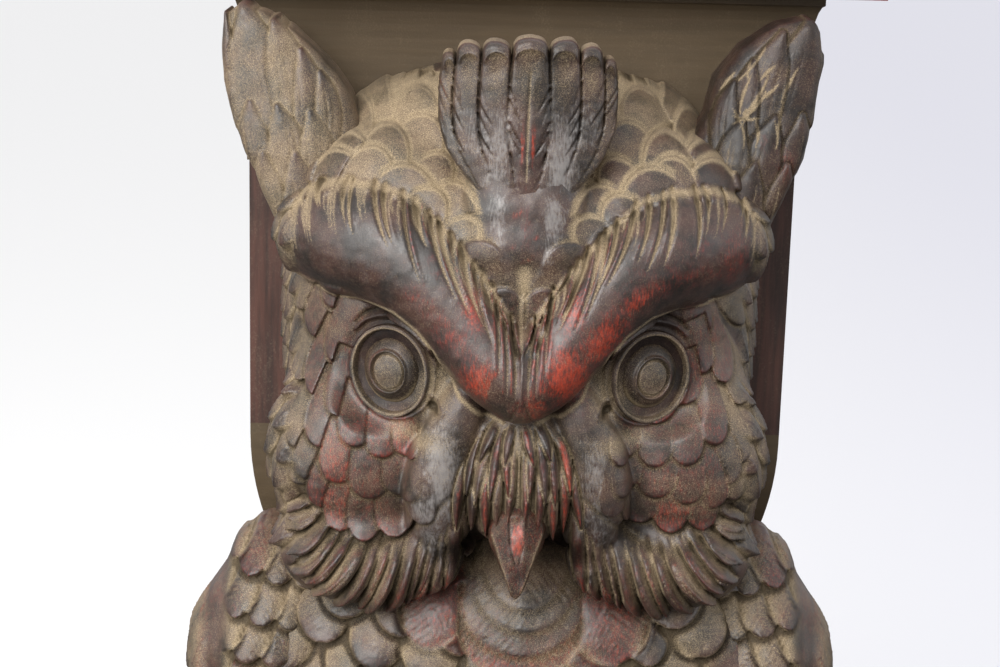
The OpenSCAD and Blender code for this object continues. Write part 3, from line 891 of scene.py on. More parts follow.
def eye_carving(side):
    """Points of an eye about its own axis, its faces, and its dust, wear and shade."""
    radius = np.concatenate([np.linspace(0.05, EYE_R, 110), [EYE_R, EYE_R * 0.98]])
    r = radius[:-2]
    iris = -3.0 + 5.0 * np.sqrt(np.clip(1 - (r / 12.2) ** 2, 0, 1))
    pupil = 0.9 * bell(r, 7.3, 0.55) - 1.3 * bell(r, 6.4, 0.45) + 0.3 * smooth(6, 0, r)
    rim = 1.7 * smooth(13.6, 15.0, r)
    groove = -1.0 * bell(r, 12.6, 1.1)
    height = np.concatenate([np.maximum(iris, -3.2) + pupil + rim * 2.3 + groove, [-6, -7]])
    points, faces = turned(list(zip(radius, np.minimum(height, 2.6))), 140)
    x, y = points[:, 0], points[:, 1]
    distance = np.hypot(x, y)
    points[:, :2] *= (1 + 0.012 * noise2(x, y, 6, 5) * smooth(15, 12, distance))[:, None]
    points[:, 2] += 0.16 * noise2(x, y, 3, 9)
    lower = smooth(1, -9, y)
    inner = smooth(-2, 8, -side * x)
    groove = bell(distance, 12.6, 1.9)
    dust = 0.12 + 0.30 * groove + 0.7 * bell(distance, 10.9, 0.7) * lower + 0.14 * smooth(7, 4.5, distance)
    dust += 0.5 * bell(distance, 6.0, 0.7) * mix(0.45, 1, lower) + 0.25 * bell(distance, 15.2, 0.4)
    wear_and_sheen = 0.65 * bell(distance, 7.8, 0.9) * smooth(5, -5, x * -side)
    shade = groove * mix(0.95, 1.2, inner) + 0.5 * smooth(12, 9.5, distance) * smooth(7.5, 9, distance)
    return points, faces, (dust, wear_and_sheen, shade)


def make_eye(side, material):
    """A turned eye: a rim, a deep dusty groove, a domed iris with a raised ring and a domed pupil."""
    points, faces, layers = eye_carving(side)
    centre, axis = eye_place(side, 1.3)
    across = np.array([-axis[1], axis[0], 0.0])
    up = np.array([0, 0, 1.06])
    placed = centre + points[:, :1] * across + points[:, 1:2] * up + points[:, 2:] * axis
    mesh = build_mesh("eye_carving_" + side_name(side), placed, faces)
    finish_carving(mesh, *layers, 0.1)
    add_piece(mesh, material, "eye_wood", "eye_" + side_name(side))


# ---------------------------------------------------------------- crest and ears

# Borders of the crest's lobes, as shares of its half width, and the heights of their tips
CREST_EDGES = (-1.0, -0.84, -0.55, -0.21, 0.23, 0.58, 0.85, 1.0)
CREST_TOPS = (680.5, 683, 684, 685.5, 685, 683, 679.5)


def crest_reach(z):
    """Half width of the crest."""
    return np.interp(z, [590, 604, 614, 623, 633, 641, 648, 656, 668, 676, 688],
                     [5, 7, 9, 12, 17, 23.8, 28.8, 31.5, 31.8, 31, 29.5])


def crest_face(x, z):
    """Depth of the crest's front: it springs from the forehead, stands up and is rounded across."""
    rise = [590, 602, 610, 618, 630, 640, 652, 670, 690]
    depth = [-107, -111, -112.4, -112.8, -112.0, -110.6, -109.2, -108.2, -108.6]
    return sum(np.interp(z + step, rise, depth) for step in (-8, -4, 0, 4, 8)) / 5 + 0.012 * x * x


def crest_outline():
    rise = np.arange(592, 679, 3)
    left = [(-float(crest_reach(z)), z) for z in rise]
    right = [(-x, z) for x, z in reversed(left)]
    top = []
    for low, high, peak in zip(CREST_EDGES[:-1], CREST_EDGES[1:], CREST_TOPS):
        reach = float(crest_reach(peak))
        middle, half = reach * (low + high) / 2, reach * (high - low) / 2
        for a in np.linspace(math.pi, 0, 9):
            top.append((middle + half * math.cos(a), peak - 3.6 + 3.6 * math.sin(a) ** 0.7))
    return left + top + right


def paint_crest(front):
    """Seven lobes that overlap towards the middle one, with hollow curled tips and barbs on their edges."""
    rng = np.random.default_rng(8)
    for i in (0, 6, 1, 5, 2, 4, 3):
        low, high, peak = CREST_EDGES[i], CREST_EDGES[i + 1], CREST_TOPS[i]
        heights = np.linspace(612, peak - 2, 14)
        reach = crest_reach(heights)
        middle = np.column_stack([reach * (low + high) / 2, heights])
        full = reach * (high - low) * 1.04
        if i == 3:
            full = full * np.interp(heights, [612, 640, 656, 690], [0.7, 0.9, 1.15, 0.9])
        front.blade(middle, list(full), 2.0, crown=0.3, lean=0.16 * (3 - i) / max(abs(3 - i), 1),
                    rise=(0.3, 0.6, 1, 1), gap=0.5, cut=0.1, gap_dust=0.0, gap_shade=0.5,
                    dust=0.06 * abs(i - 3), ridge=2.6)
        x = float(crest_reach(peak)) * (low + high) / 2
        half = float(crest_reach(peak)) * (high - low) / 2
        front.spot((x, peak - 7), (half * 0.7, 5), height=-1.1)
        front.spot((x, peak - 11), (half, 11), shade=0.35, dust=0.26)
        turn = np.linspace(-1.5, 1.5, 7)
        arc = np.column_stack([x + half * 0.85 * np.sin(turn), peak - 5.2 + 4 * np.cos(turn)])
        front.stroke(arc, (0.8, 1.6, 0.8), 0.8)
        front.spot((x, peak - 3.2), (half * 0.95, 2.8), dust=0.3, shade=0.4)
        for k in range(7):
            z = 636 + 6.0 * k + rng.normal(0, 1.2)
            for edge, share in ((-1, low), (1, high)):
                if (i < 3 and edge < 0) or (i > 3 and edge > 0) or i == 3:
                    x = share * float(crest_reach(z)) - edge * 0.2
                    notch = bezier((x, z), (x - edge * 1.4, z - 3),
                                   (x - edge * mix(2, 5, rng.random()), z - 8))
                    front.stroke(notch, (0.9, 1.1, 0.3), -1.0, shade=0.45)
                    front.stroke(notch + (edge * 0.3, 1.1), (0.6, 0.9, 0.3), 0.8,
                                 wear_and_sheen=0.9 * rng.random() ** 1.5)
    front.stroke([(0.5, 676), (0, 655), (0, 638)], (0.6, 1.1, 0.6), -0.7, dust=0.6)
    for x in (-1.9, 1.9):
        front.spot((x, 651), (1.2, 10), wear_and_sheen=1.1)
        front.spot((x * 1.4, 640), (1.4, 6), wear_and_sheen=0.5)
    _, z = front.grid()
    fade = smooth(629, 652, z)
    front.height *= fade
    front.shade *= fade
    # Painted highlights: a grey sheen on the crest's neck and on its lobes.
    for x, rx, share in ((-11, 4.5, 0.75), (11, 4.5, 0.85)):
        front.paint_sheen((x, 634), (rx, 13), share)
    for x, z, share in ((-19, 655, 0.4), (-9, 652, 0.6), (12, 648, 0.8), (21, 658, 0.35)):
        front.paint_sheen((x, z), (5, 13), share)
    front.spot((0, 626), (5, 14), wear_and_sheen=0.6)
    front.spot((-8, 627), (2, 8), wear_and_sheen=0.4)
    front.spot((9, 628), (2, 9), wear_and_sheen=0.4)


def make_crest(material):
    form = Form((-40, -126, 588), (40, -78, 694), FINE * 0.85)
    form.plate(crest_outline(), crest_face, 18, 3.4)
    front = Relief((-40, 588), (40, 694), 0.3)
    paint_crest(front)
    front.roughen((0.10, 2.2, 4), (0.15, 7, 5))
    front.settle(0.05, 0.35, 2.4)

    def back_dust(points):
        behind = smooth(2.0, 7.0, points[:, 1] - crest_face(points[:, 0], points[:, 2]))
        return 0.5 * behind

    carve(form, "crest_palmette", "crest", material, seen_whole(front), 0.35, back_dust,
          against_pillar=False)


EAR_OUTLINE = {
    -1: [
        (60, 612), (86, 606), (94, 622), (101, 637), (107, 651), (111, 665), (112, 677), (110.5, 689),
        (106, 693), (97, 690), (87, 684), (79, 677), (71, 669), (65, 660), (58, 640)],
    1: [
        (60, 612), (84, 606), (90, 618), (99, 636), (105, 655), (108, 676), (107.5, 688), (101, 692.5),
        (92, 690), (79, 681), (70, 669), (67, 656), (58, 640)],
}
# Feathers of an ear: foot, bend and tip as (x, z), then the width
EAR_FEATHERS = [((98, 620), (108, 648), (111, 690), 9), ((92, 616), (104, 640), (109, 668), 10),
                ((90, 640), (98, 668), (104, 692), 24), ((84, 650), (86, 668), (93, 687), 16),
                ((80, 646), (78, 662), (83, 677), 11), ((74, 640), (70, 654), (76, 669), 10),
                ((95, 622), (100, 638), (101, 658), 15), ((84, 626), (86, 642), (91, 657), 15),
                ((76, 624), (74, 640), (79, 655), 14), ((90, 606), (94, 622), (96, 640), 14),
                ((80, 606), (80, 622), (84, 640), 15), ((70, 606), (66, 624), (70, 642), 14)]


def ear_face(x, z):
    return np.interp(z, [606, 640, 694],
                     [-79, -75, -64]) + 0.012 * (x - np.interp(z, [606, 694], [78, 102])) ** 2


def wipe_ear(front):
    """Places on the right ear where the dust was brushed off, with a few fibres left on it."""
    rng = np.random.default_rng(67)
    for x, z, rx, rz in ((85, 668, 10, 6), (92, 680, 9, 4), (88, 652, 7, 8), (76, 658, 6, 8),
                         (95, 640, 8, 10)):
        front.wipe((x, z), (rx, rz), 0.92)
    for _ in range(16):
        turn = rng.normal(1.1, 0.6)
        at = np.array([88, 667]) + rng.normal(0, 1, 2) * (8, 9)
        reach = rng.uniform(3, 9) * np.array([math.cos(turn), math.sin(turn)])
        front.stroke(bezier(at - reach, at + rng.normal(0, 2, 2), at + reach), (0.4, 1.3, 0.4), 0.12,
                     dust=0.95)
    front.spot((96, 640), (6, 10), wear_and_sheen=0.7, turn=0.3)
    front.spot((86, 648), (4, 5), wear_and_sheen=0.6)


def make_ear(side, material):
    """A tuft of leaf-shaped feathers that leans against the capital."""
    form = Form((52, -98, 600), (124, -20, 700), FINE)
    form.plate(EAR_OUTLINE[side], ear_face, 24, 5)
    form.limb([(76, -50, 616, 17), (88, -44, 644, 15), (98, -38, 674, 9)], blend=10)
    front = Relief((50, 596), (126, 700), 0.35)
    rng = np.random.default_rng(61)
    cover = 0.30 if side < 0 else 0.0
    front.dust += cover
    for foot, bend, tip, width in EAR_FEATHERS:
        line = bezier(foot, bend, tip, 12)
        front.blade(line, (width * 0.8, width, width, width * 0.75, width * 0.2), 1.5, crown=0.75,
                    rise=(0.0, 0.7, 1.1), gap=0.7, cut=0.35, dust=cover + 0.15 * rng.random(),
                    rim_dust=0.5 if side < 0 else 0.3, gap_dust=0.4, gap_shade=0.3 if side < 0 else 0.6,
                    wear_and_sheen=0.1, ridge=2.0)
        for _ in range(3):
            aside = (rng.random() - 0.5) * width * 0.6
            front.stroke(line[2:10] + (aside, 0), (0.3, 0.9, 0.3), -0.22, dust=0.6 * rng.random())
    if side > 0:
        wipe_ear(front)
        front.shade += 0.38
    front.roughen((0.12, 3, 6), (0.25, 10, 7))
    front.settle(0.2, 0.35, 3.0)
    carve(form, "ear_tuft_" + side_name(side), "ear_" + side_name(side), material, seen_whole(front),
                 0.35 if side < 0 else 0.0, side=side)


# ---------------------------------------------------------------- body, wings, tail and legs

def paint_breast(relief):
    """Plump rounded feathers in rows down the breast."""
    rng = np.random.default_rng(77)
    for row, i, place in brick(range(24), range(-6, 7)):
        z = 166 + 14.5 * row
        x = 22.0 * place + rng.normal(0, 1.5)
        sag = 0.0013 * x * x * (1 + smooth(380, 470, z))
        bare = rng.random() ** 2.5
        relief.feather(
            (x, z + sag + rng.normal(0, 1.5)), math.radians(-90 + 0.25 * x + rng.normal(0, 6)), 32,
            25 + rng.normal(0, 2.0), mix(5.5, 7.0, rng.random()), seed=i + 13 * row, point=2.1, barbs=0.15,
            barb_pitch=2.6, rim_dust=0.65, face_dust=mix(0.42, 0.1, bare), face_wear=0.7 * bare, crown=0.6,
            gap_shade=1.0, gap_dust=0.15)


# Feathers of the bib: x and z of the tip, width, and how bare they are
BIB = ((-33, 457, 30, 0.8), (40, 452, 34, 0.8), (3, 446, 50, 0.9), (4, 455, 46, 0.5), (5, 464, 40, 0.2),
       (5, 472, 34, 0.1))


def paint_bib(relief):
    """The curved feathers right under the beak and the worn ones beside them."""
    for k, (x, z, width, bare) in enumerate(BIB):
        relief.feather(
            (x, z), math.radians(-90 + 0.3 * x), 34, width, 3.8, seed=k, point=2.0, barbs=0.2, barb_pitch=3.2,
            rim_dust=0.25, face_dust=0.32 - 0.25 * bare, face_wear=0.2 + 0.6 * bare, crown=0.5,
            gap_shade=0.55, gap_dust=0.35)
    relief.wipe((-6, 436), (38, 9), 0.9)
    relief.spot((-6, 436), (34, 8), wear_and_sheen=1.0)


def make_body(material):
    form = Form((-112, -128, 148), (112, -8, 500), COARSE)
    form.ellipsoid((0, -46, 450), (102, 50, 44), power=2.3)
    form.ellipsoid((0, -52, 380), (100, 56, 84), blend=16, power=2.2)
    form.ellipsoid((0, -50, 275), (88, 55, 84), blend=20, power=2.2)
    form.ellipsoid((0, -46, 204), (66, 46, 46), blend=20)
    front = Relief((-125, 140), (125, 505), 0.5)
    paint_breast(front)
    paint_bib(front)
    front.roughen((0.2, 4, 7), (0.3, 14, 8))
    front.settle(0.22, 0.6, 4.5)

    def fallen_dust(points):
        return -0.25 * smooth(430, 330, points[:, 2])

    carve(form, "breast", "owl_body", material, seen_whole(front), 0.35, fallen_dust)


def paint_wing_side(relief):
    """Coverts on the shoulder, then long flight feathers. u is y and v is z."""
    rng = np.random.default_rng(90)
    for k in range(7):
        y = mix(-84 + 11.5 * k, -30 + 3 * k, 0.55)
        relief.feather((y, 168 + 9 * k), math.radians(-86 - 2 * k), 165, 17, 3.0, seed=k, point=2.6,
                       shaft=0.8, barbs=0.28, barb_pitch=2.8, rim_dust=0.4, face_dust=0.25, face_wear=0.3)
    for row, i, place in brick(range(9), range(8)):
        y = -96 + 14 * place + rng.normal(0, 0.8)
        relief.feather(
            (y, 292 + 17 * row), math.radians(-80), 34, 16, 2.8, seed=i + 11 * row, point=2.1, shaft=0.4,
            barbs=0.25, barb_pitch=2.2, rim_dust=0.45, face_dust=0.3, face_wear=0.3)


def paint_wing_front(relief):
    rng = np.random.default_rng(31)
    for row, i, place in brick(range(21), range(4)):
        bare = rng.random() * (0.3 + 0.2 * i)
        relief.feather((79 + 12 * place, 172 + 15.0 * row + 1.5 * i), math.radians(-86 + 5 * i), 32, 19, 4.6,
                       seed=i + 5 * row, point=2.1, barbs=0.28, barb_pitch=2.4, rim_dust=0.4,
                       face_dust=0.6 - 0.5 * bare, face_wear=bare, gap_shade=0.8, crown=0.6)


def wear_wing_edge(mesh):
    """Wears the leading edge of a finished wing unevenly through to the red coat."""
    points = np.zeros(len(mesh.vertices) * 3)
    mesh.vertices.foreach_get("co", points)
    x = np.abs(points.reshape(-1, 3)[:, 0]) / MM
    z = points.reshape(-1, 3)[:, 2] / MM
    layer = mesh.attributes["wear_and_sheen"].data
    wear_and_sheen = np.zeros(len(layer))
    layer.foreach_get("value", wear_and_sheen)
    wear_and_sheen += 0.6 * smooth(109, 114, x) * smooth(126, 121, x) * (0.6 + 0.4 * noise2(x, z, 16, 3))
    layer.foreach_set("value", np.clip(wear_and_sheen, 0, 1).astype(np.float32))


def make_wing(side, material):
    """A folded wing: a smooth leading edge, coverts in front of it and flight feathers down its side."""
    form = Form((58, -104, 142), (138, -6, 502), COARSE)
    spine = [(88, -44, 462, 27), (95, -44, 440, 30), (98, -46, 400, 29), (98, -46, 330, 27),
             (92, -42, 260, 25), (83, -36, 200, 20), (76, -30, 166, 12)]
    form.limb(spine, blend=10, squeeze=(1.0, 0.78, 1))
    edge = [(95, -50, 474, 13), (104, -56, 456, 15), (109, -60, 432, 14), (111, -62, 400, 12),
            (109, -62, 340, 11)]
    form.limb(edge, blend=4)
    beside = Relief((-125, 140), (5, 505), 0.5)
    paint_wing_side(beside)
    beside.settle(0.3, 0.5, 4.0)
    front = Relief((55, 140), (140, 505), 0.5)
    paint_wing_front(front)
    front.settle(0.25, 0.5, 4.0)
    views = [(front, FRONT, lambda x: 1 - smooth(107, 114, x)),
             (beside, BESIDE, lambda x: smooth(117, 123, x))]

    def edge_dust(points):
        return 0.1 * smooth(108, 114, points[:, 0])

    name = side_name(side)
    piece = carve(form, "folded_wing_" + name, "wing_" + name, material, views, 0.45, edge_dust, side=side)
    wear_wing_edge(piece.data)


def make_tail(material):
    """Five long feathers that reach down behind the legs."""
    form = Form((-62, -52, STAND_TOP), (62, -8, 262), COARSE)
    for i in range(-2, 3):
        tip = (15 * i, -27 + 2 * abs(i), 100 + 3 * abs(i), 10)
        form.limb([(9 * i, -24, 240, 9), (12 * i, -25, 160, 10), tip], blend=1.5, squeeze=(0.85, 1.25, 1))
    form.keep_above(STAND_TOP + 0.2)
    front = Relief((-64, STAND_TOP - 2), (64, 264), 0.4)
    for i in (-2, 2, -1, 1, 0):
        front.feather((15 * i, 90 + 3 * abs(i)), math.radians(-90 + 2.4 * i), 150, 21, 2.4, seed=i + 3,
                      point=2.6, shaft=0.9, barbs=0.4, barb_pitch=2.6, rim_dust=0.35, face_dust=0.2,
                      face_wear=0.3)
    front.settle(0.35, 0.45, 4.0)
    carve(form, "tail_fan", "tail", material, seen_whole(front), 0.3)


LEG_X = 42.0


def make_leg(side, material):
    """A feathered leg that narrows to the ankle."""
    form = Form((8, -104, STAND_TOP + 6), (78, -20, 216), COARSE)
    knee_to_ankle = ((-60, 186, 27), (-66, 158, 25), (-73, 130, 19), (-76, 106, 15))
    form.limb([(LEG_X, *place) for place in knee_to_ankle], blend=4)
    front = Relief((5, STAND_TOP), (80, 220), 0.4)
    rng = np.random.default_rng(19)
    for row, i, place in brick(range(9), range(-2, 3)):
        front.feather((LEG_X + 12 * place + rng.normal(0, 0.6), 102 + 11.5 * row), math.radians(-90 + 3 * i),
                      24, 14, 3.0, seed=i + 7 * row, point=1.9, shaft=0.4, barbs=0.3, barb_pitch=2.0,
                      rim_dust=0.35, face_dust=0.25, face_wear=0.3)
    front.settle(0.35, 0.45, 4.0)
    name = side_name(side)
    carve(form, "feathered_leg_" + name, "leg_" + name, material, seen_whole(front), 0.35,
          against_pillar=False, side=side)


def make_foot(side, material):
    """Three scaly toes with talons."""
    form = Form((6, -146, STAND_TOP), (80, -60, STAND_TOP + 26), COARSE * 0.7)
    top = Relief((4, -148), (82, -58), 0.4)
    for spread in (-1, 0, 1):
        knuckles = []
        for t in np.linspace(0, 1, 5):
            bulge = 1.5 * math.sin(math.pi * 3 * t)
            place = (LEG_X + spread * mix(7, 20, t), mix(-80, -120, t), STAND_TOP + 8.5 - 2.0 * t + bulge)
            knuckles.append((*place, mix(10, 7.2, t) + 0.9 * math.cos(math.pi * 4 * t)))
        form.limb(knuckles, blend=1.5)
        claw = ((20, -120, 10, 5.4), (21, -130, 8.5, 4.0), (21.6, -137, 3.5, 2.0), (22, -140, 1.2, 0.8))
        form.limb([(LEG_X + spread * x, y, STAND_TOP + z, r) for x, y, z, r in claw], blend=0.6)
        for t in np.linspace(0.0, 0.95, 11):
            x = LEG_X + spread * mix(7, 20, t)
            y = mix(-82, -119, t)
            top.stroke([(x - 9, y), (x, y - 1.6), (x + 9, y)], (0.8, 1.1, 0.8), -0.8, dust=0.8)
        top.spot((LEG_X + spread * 21, -134), (5, 7), wear_and_sheen=0.6)
    form.keep_above(STAND_TOP + 0.2)
    name = side_name(side)
    carve(form, "clawed_foot_" + name, "foot_" + name, material, seen_whole(top, TOP), 0.45,
          against_pillar=False, side=side)


# ---------------------------------------------------------------- materials

PORE_DEPTH = 0.0005    # metres


class Shader:
    """A node tree that ends in one Principled shader."""

    def __init__(self, name):
        self.material = bpy.data.materials.new(name)
        self.material.use_nodes = True
        self.tree = self.material.node_tree
        self.tree.nodes.clear()
        self.out = self.add("OutputMaterial")
        self.surface = self.add("BsdfPrincipled")
        self.tree.links.new(self.surface.outputs["BSDF"], self.out.inputs["Surface"])
        self.place = self.add("TexCoord").outputs["Object"]

    def add(self, kind, **inputs):
        """A new node with these inputs, each a value or a socket."""
        node = self.tree.nodes.new("ShaderNode" + kind)
        for name, value in inputs.items():
            self.put(node.inputs[name], value)
        return node

    def put(self, socket, value):
        if hasattr(value, "is_output"):
            self.tree.links.new(value, socket)
        else:
            socket.default_value = value

    def set(self, name, value):
        """Sets an input of the surface."""
        self.put(self.surface.inputs[name], value)

    def math(self, kind, a, b, clamp=False):
        node = self.add("Math")
        node.operation = kind
        node.use_clamp = clamp
        self.put(node.inputs[0], a)
        self.put(node.inputs[1], b)
        return node.outputs[0]

    def plus(self, a, b, share=1.0, clamp=False):
        """a plus that share of b."""
        return self.math("ADD", a, b if share == 1.0 else self.math("MULTIPLY", b, share), clamp)

    def jitter(self, value, noise, share, middle=0.5):
        """The value, moved up and down by that share of a noise."""
        return self.plus(value, self.math("SUBTRACT", noise, middle), share)

    def mix(self, a, b, factor):
        node = self.add("Mix")
        node.data_type = "RGBA"
        self.put(node.inputs["Factor"], factor)
        for name, color in (("A", a), ("B", b)):
            self.put(node.inputs[name], color if hasattr(color, "is_output") else (*color, 1.0))
        return node.outputs["Result"]

    def between(self, value, low, high, to_low=0.0, to_high=1.0):
        node = self.add("MapRange")
        node.interpolation_type = "SMOOTHSTEP"
        names = ("Value", "From Min", "From Max", "To Min", "To Max")
        for name, given in zip(names, (value, low, high, to_low, to_high)):
            self.put(node.inputs[name], given)
        return node.outputs["Result"]

    def noise(self, scale, detail=3.0, stretch=(1, 1, 1), rough=0.55):
        """Noise with that many features in a metre."""
        mapping = self.add("Mapping", Scale=stretch, Vector=self.place)
        place = mapping.outputs["Vector"]
        return self.add("TexNoise", Scale=scale, Detail=detail, Roughness=rough, Vector=place).outputs[0]

    def attribute(self, name):
        node = self.add("Attribute")
        node.attribute_name = name
        return node.outputs["Fac"]

    def apart(self, vector, axis):
        """One part of a vector."""
        return self.add("SeparateXYZ", Vector=vector).outputs[axis]

    def bump(self, height, strength):
        node = self.add("Bump", Strength=strength, Distance=PORE_DEPTH, Height=height)
        self.set("Normal", node.outputs["Normal"])


def carved_material():
    """Dark stain over a red coat: red where hands have worn it, a painted grey highlight where the worn-red
    layer goes below zero, painted shade near black where the shade layer is high, and dust in the hollows
    and on what faces up."""
    s = Shader("carved_wood")
    dust, wear_and_sheen, shade = (s.attribute(name) for name in ("dust", "wear_and_sheen", "shade"))
    blotch = s.noise(75, 4)
    patch = s.noise(260, 4)
    grain = s.noise(1100, 4, stretch=(1.3, 1.3, 0.35), rough=0.65)
    speck = s.noise(2700, 2, rough=0.8)
    stain = s.mix((0.015, 0.010, 0.008), (0.046, 0.019, 0.015), s.between(blotch, 0.35, 0.65))
    stain = s.mix(stain, (0.055, 0.044, 0.042), s.between(patch, 0.52, 0.78, 0.0, 0.35))
    scuffed = s.jitter(s.jitter(wear_and_sheen, grain, 1.3), patch, 1.2)
    rub_and_sheen = s.jitter(wear_and_sheen, grain, 1.6)
    red = s.mix((0.095, 0.015, 0.011), (0.36, 0.034, 0.010), s.between(rub_and_sheen, 0.55, 1.3))
    base = s.mix(stain, red, s.between(scuffed, 0.30, 1.20, 0.0, 0.95))
    # Painted highlight: below zero the worn-red layer turns the colour light grey, standing in for a gloss
    # sheen.
    painted_sheen = s.jitter(s.jitter(wear_and_sheen, grain, 1.5), patch, 1.0)
    base = s.mix(base, (0.21, 0.196, 0.190), s.between(painted_sheen, -1.0, -0.15, 0.9, 0.0))
    # Painted shade: the shade layer darkens the colour towards black in gaps, grooves and hollows.
    base = s.mix(base, (0.004, 0.003, 0.003), s.math("MULTIPLY", shade, 0.92, clamp=True))
    cover = s.jitter(s.jitter(dust, blotch, 0.55), speck, 1.6, middle=0.47)
    powder = s.between(cover, 0.02, 0.98, 0.0, 0.92)
    # Painted shade dims the dust as well.
    powder = s.math("MULTIPLY", powder, s.between(shade, 0.2, 1.0, 1.0, 0.25))
    tan = s.mix((0.21, 0.155, 0.088), (0.42, 0.325, 0.200), s.between(speck, 0.35, 0.7))
    s.set("Base Color", s.mix(base, tan, powder))
    s.set("Specular IOR Level", s.between(shade, 0.05, 0.85, 0.6, 0.08))
    s.set("Coat Weight", s.between(s.plus(powder, shade), 0.0, 0.6, 0.12, 0.0))
    s.set("Coat Roughness", 0.34)
    s.set("Roughness", s.plus(s.between(patch, 0.3, 0.7, 0.30, 0.46), powder, 0.55, clamp=True))
    s.bump(s.plus(s.math("MULTIPLY", grain, 0.6), speck, 0.5), 0.35)
    return s.material


def board_material(name, dark, light, dusty, gloss, upright=True, figure=1.0):
    """Flat stained or lacquered wood. Its grain runs up the board, or else across it."""
    s = Shader(name)
    grain = s.noise(320, 5, stretch=(1, 1, 0.07) if upright else (0.07, 1, 1), rough=0.6)
    cloud = s.noise(16, 4)
    speck = s.noise(1500, 2)
    scratch = s.noise(60, 6, stretch=(1, 1, 0.3), rough=0.8)
    base = s.mix(dark, light, s.between(grain, 0.3, 0.7, 0.5 - figure / 2, 0.5 + figure / 2))
    base = s.mix(base, tuple(0.45 * c for c in dark), s.between(cloud, 0.5, 0.75, 0.0, 0.65))
    cover = s.plus(s.math("MULTIPLY", scratch, 0.6), speck, 0.4)
    upward = s.apart(s.add("NewGeometry").outputs["Normal"], "Z")
    cover = s.plus(cover, s.between(upward, 0.3, 1.0, 0.0, 0.22))
    powder = s.between(cover, 0.5, 0.78, 0.0, dusty)
    s.set("Base Color", s.mix(base, (0.30, 0.235, 0.15), powder))
    worn = s.between(scratch, 0.3, 0.7, gloss, gloss + 0.15)
    s.set("Roughness", s.plus(worn, powder, 0.4, clamp=True))
    s.bump(s.plus(s.math("MULTIPLY", grain, 0.7), speck, 0.2), 0.3)
    return s.material


def steel_material():
    s = Shader("fixing_steel")
    s.set("Metallic", 1.0)
    rust = s.between(s.noise(900, 4), 0.5, 0.72, 0.0, 0.8)
    s.set("Base Color", s.mix((0.42, 0.41, 0.39), (0.16, 0.07, 0.03), rust))
    s.set("Roughness", s.between(s.noise(500, 3), 0.3, 0.7, 0.35, 0.7))
    return s.material


# ---------------------------------------------------------------- pillar and base

def dress_node(node, material, bevel=0.0):
    """Gives a CAD node its material and, where it has long edges, softly worn ones."""
    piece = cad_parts[node]
    piece.data.materials.clear()
    piece.data.materials.append(material)
    if bevel:
        worn = piece.modifiers.new("worn_edges", "BEVEL")
        worn.width = bevel * MM
        worn.segments = 3
        worn.limit_method = "ANGLE"
        worn.angle_limit = math.radians(35)
        worn.harden_normals = False


def dress_pillar():
    block = board_material("stained_wood", (0.034, 0.018, 0.014), (0.085, 0.036, 0.026), 0.35, 0.42)
    lacquer = board_material(
        "red_lacquered_wood", (0.10, 0.020, 0.014), (0.24, 0.040, 0.022), 0.6, 0.32, upright=False)
    mould = board_material(
        "tan_moulding_wood", (0.060, 0.041, 0.021), (0.100, 0.068, 0.036), 0.25, 0.55, upright=False,
        figure=0.35)
    bare = board_material("dowel_wood", (0.35, 0.22, 0.11), (0.5, 0.35, 0.2), 0.1, 0.6)
    steel = steel_material()
    kinds = ((("owl_bolts", "plinth_screws"), steel, 0.4),
             (("neck_dowels", "board_dowels"), bare, 0.0),
             (("flare", "cavetto", "foot_mould"), mould, 0.5),
             (("top_board", "stand_board"), lacquer, 1.6),
             (("capital_core", "post", "plinth", "base_block"), block, 1.2))
    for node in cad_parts:
        for names, material, bevel in kinds:
            if node in names or (material is mould and node.startswith(names)):
                dress_node(node, material, bevel)


# ---------------------------------------------------------------- stage

def make_floor():
    """A pale floor that throws no light back on the owl."""
    far = 9000
    floor_mesh = build_mesh("floor", [(-far, -far, 0), (far, -far, 0), (far, far, 0), (-far, far, 0)],
                            [(0, 1, 2, 3)])
    floor = bpy.data.objects.new("floor", floor_mesh)
    bpy.context.scene.collection.objects.link(floor)
    floor.visible_diffuse = False
    floor.visible_glossy = False
    s = Shader("floor")
    aside = s.apart(s.place, "X")
    # Painted falloff of the light: the floor is paler on the viewer's left and darker and bluer towards the
    # right.
    s.set("Base Color", s.mix((0.93, 0.93, 0.92), (0.80, 0.80, 0.86), s.between(aside, -0.5, 1.2)))
    s.set("Roughness", 0.9)
    floor_mesh.materials.append(s.material)


def make_studio():
    """Surroundings that are bright above and dim below, and even and pale to the camera."""
    world = bpy.data.worlds.new("studio")
    bpy.context.scene.world = world
    world.use_nodes = True
    tree = world.node_tree
    background = tree.nodes["Background"]
    direction = tree.nodes.new("ShaderNodeTexCoord")
    split = tree.nodes.new("ShaderNodeSeparateXYZ")
    tree.links.new(direction.outputs["Generated"], split.inputs[0])
    ramp = tree.nodes.new("ShaderNodeMapRange")
    for name, value in (("From Min", -0.35), ("From Max", 0.25), ("To Min", 0.12), ("To Max", 0.95)):
        ramp.inputs[name].default_value = value
    tree.links.new(split.outputs["Z"], ramp.inputs["Value"])
    background.inputs[0].default_value = (0.98, 0.98, 1.0, 1)
    seen = tree.nodes.new("ShaderNodeLightPath")
    pick = tree.nodes.new("ShaderNodeMix")
    tree.links.new(seen.outputs["Is Camera Ray"], pick.inputs[0])
    tree.links.new(ramp.outputs["Result"], pick.inputs[2])
    pick.inputs[3].default_value = 0.93
    tree.links.new(pick.outputs[0], background.inputs[1])


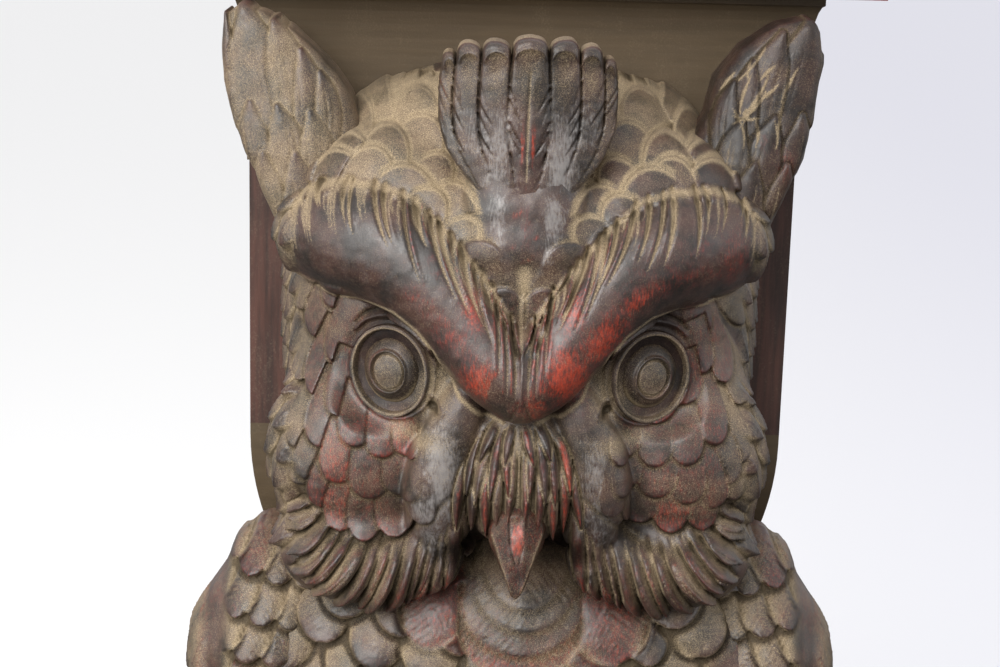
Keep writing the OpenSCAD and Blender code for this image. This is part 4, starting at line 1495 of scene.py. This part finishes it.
# Lamps: name, place and size in metres, power in watts and colour
LAMPS = (("key", (-0.60, -1.25, 1.45), 1.0, 31, (1.0, 0.985, 0.96)),
         ("side", (-1.45, -0.85, 0.65), 0.9, 11, (1.0, 0.99, 0.97)),
         ("fill", (1.5, -0.5, 0.9), 0.9, 3, (0.92, 0.96, 1.0)))
LAMP_AIM = (0, -0.05, 0.58)


def make_lamps():
    """A big soft key light, a lower one from the side and a weak fill."""
    for name, at, size, power, color in LAMPS:
        lamp = bpy.data.lights.new(name, "AREA")
        lamp.size = size
        lamp.energy = power
        lamp.color = color
        light = bpy.data.objects.new(name, lamp)
        light.location = at
        light.rotation_euler = (Vector(LAMP_AIM) - Vector(at)).to_track_quat("-Z", "Y").to_euler()
        bpy.context.scene.collection.objects.link(light)
    bpy.context.scene.view_settings.view_transform = "Standard"


def make_camera():
    """The camera looks down at the face from a little way off, with a slight lean."""
    aim = np.array([-8.0, -122.0, EYE_Z + 21.0]) * MM
    reach = 0.729
    pitch, yaw, roll = math.radians(14), math.radians(-0.5), math.radians(1.5)
    back = np.array([math.sin(yaw) * math.cos(pitch), -math.cos(yaw) * math.cos(pitch), math.sin(pitch)])
    right = np.cross(-back, [0, 0, 1])
    right /= np.linalg.norm(right)
    up = np.cross(right, -back)
    c, s = math.cos(roll), math.sin(roll)
    data = bpy.data.cameras.new("camera")
    data.lens = 75
    data.sensor_width = 36
    camera = bpy.data.objects.new("camera", data)
    matrix = np.eye(4)
    matrix[:3, :3] = np.array([c * right + s * up, -s * right + c * up, back]).T
    matrix[:3, 3] = aim + back * reach
    camera.matrix_world = Matrix(matrix.tolist())
    bpy.context.scene.collection.objects.link(camera)
    bpy.context.scene.camera = camera


make_camera()
make_floor()
make_studio()
make_lamps()
carved = carved_material()
dress_pillar()
make_head(carved)
make_beak(carved)
make_crest(carved)
make_body(carved)
make_tail(carved)
for side in SIDES:
    make_eye(side, carved)
    make_ear(side, carved)
    make_wing(side, carved)
    make_leg(side, carved)
    make_foot(side, carved)
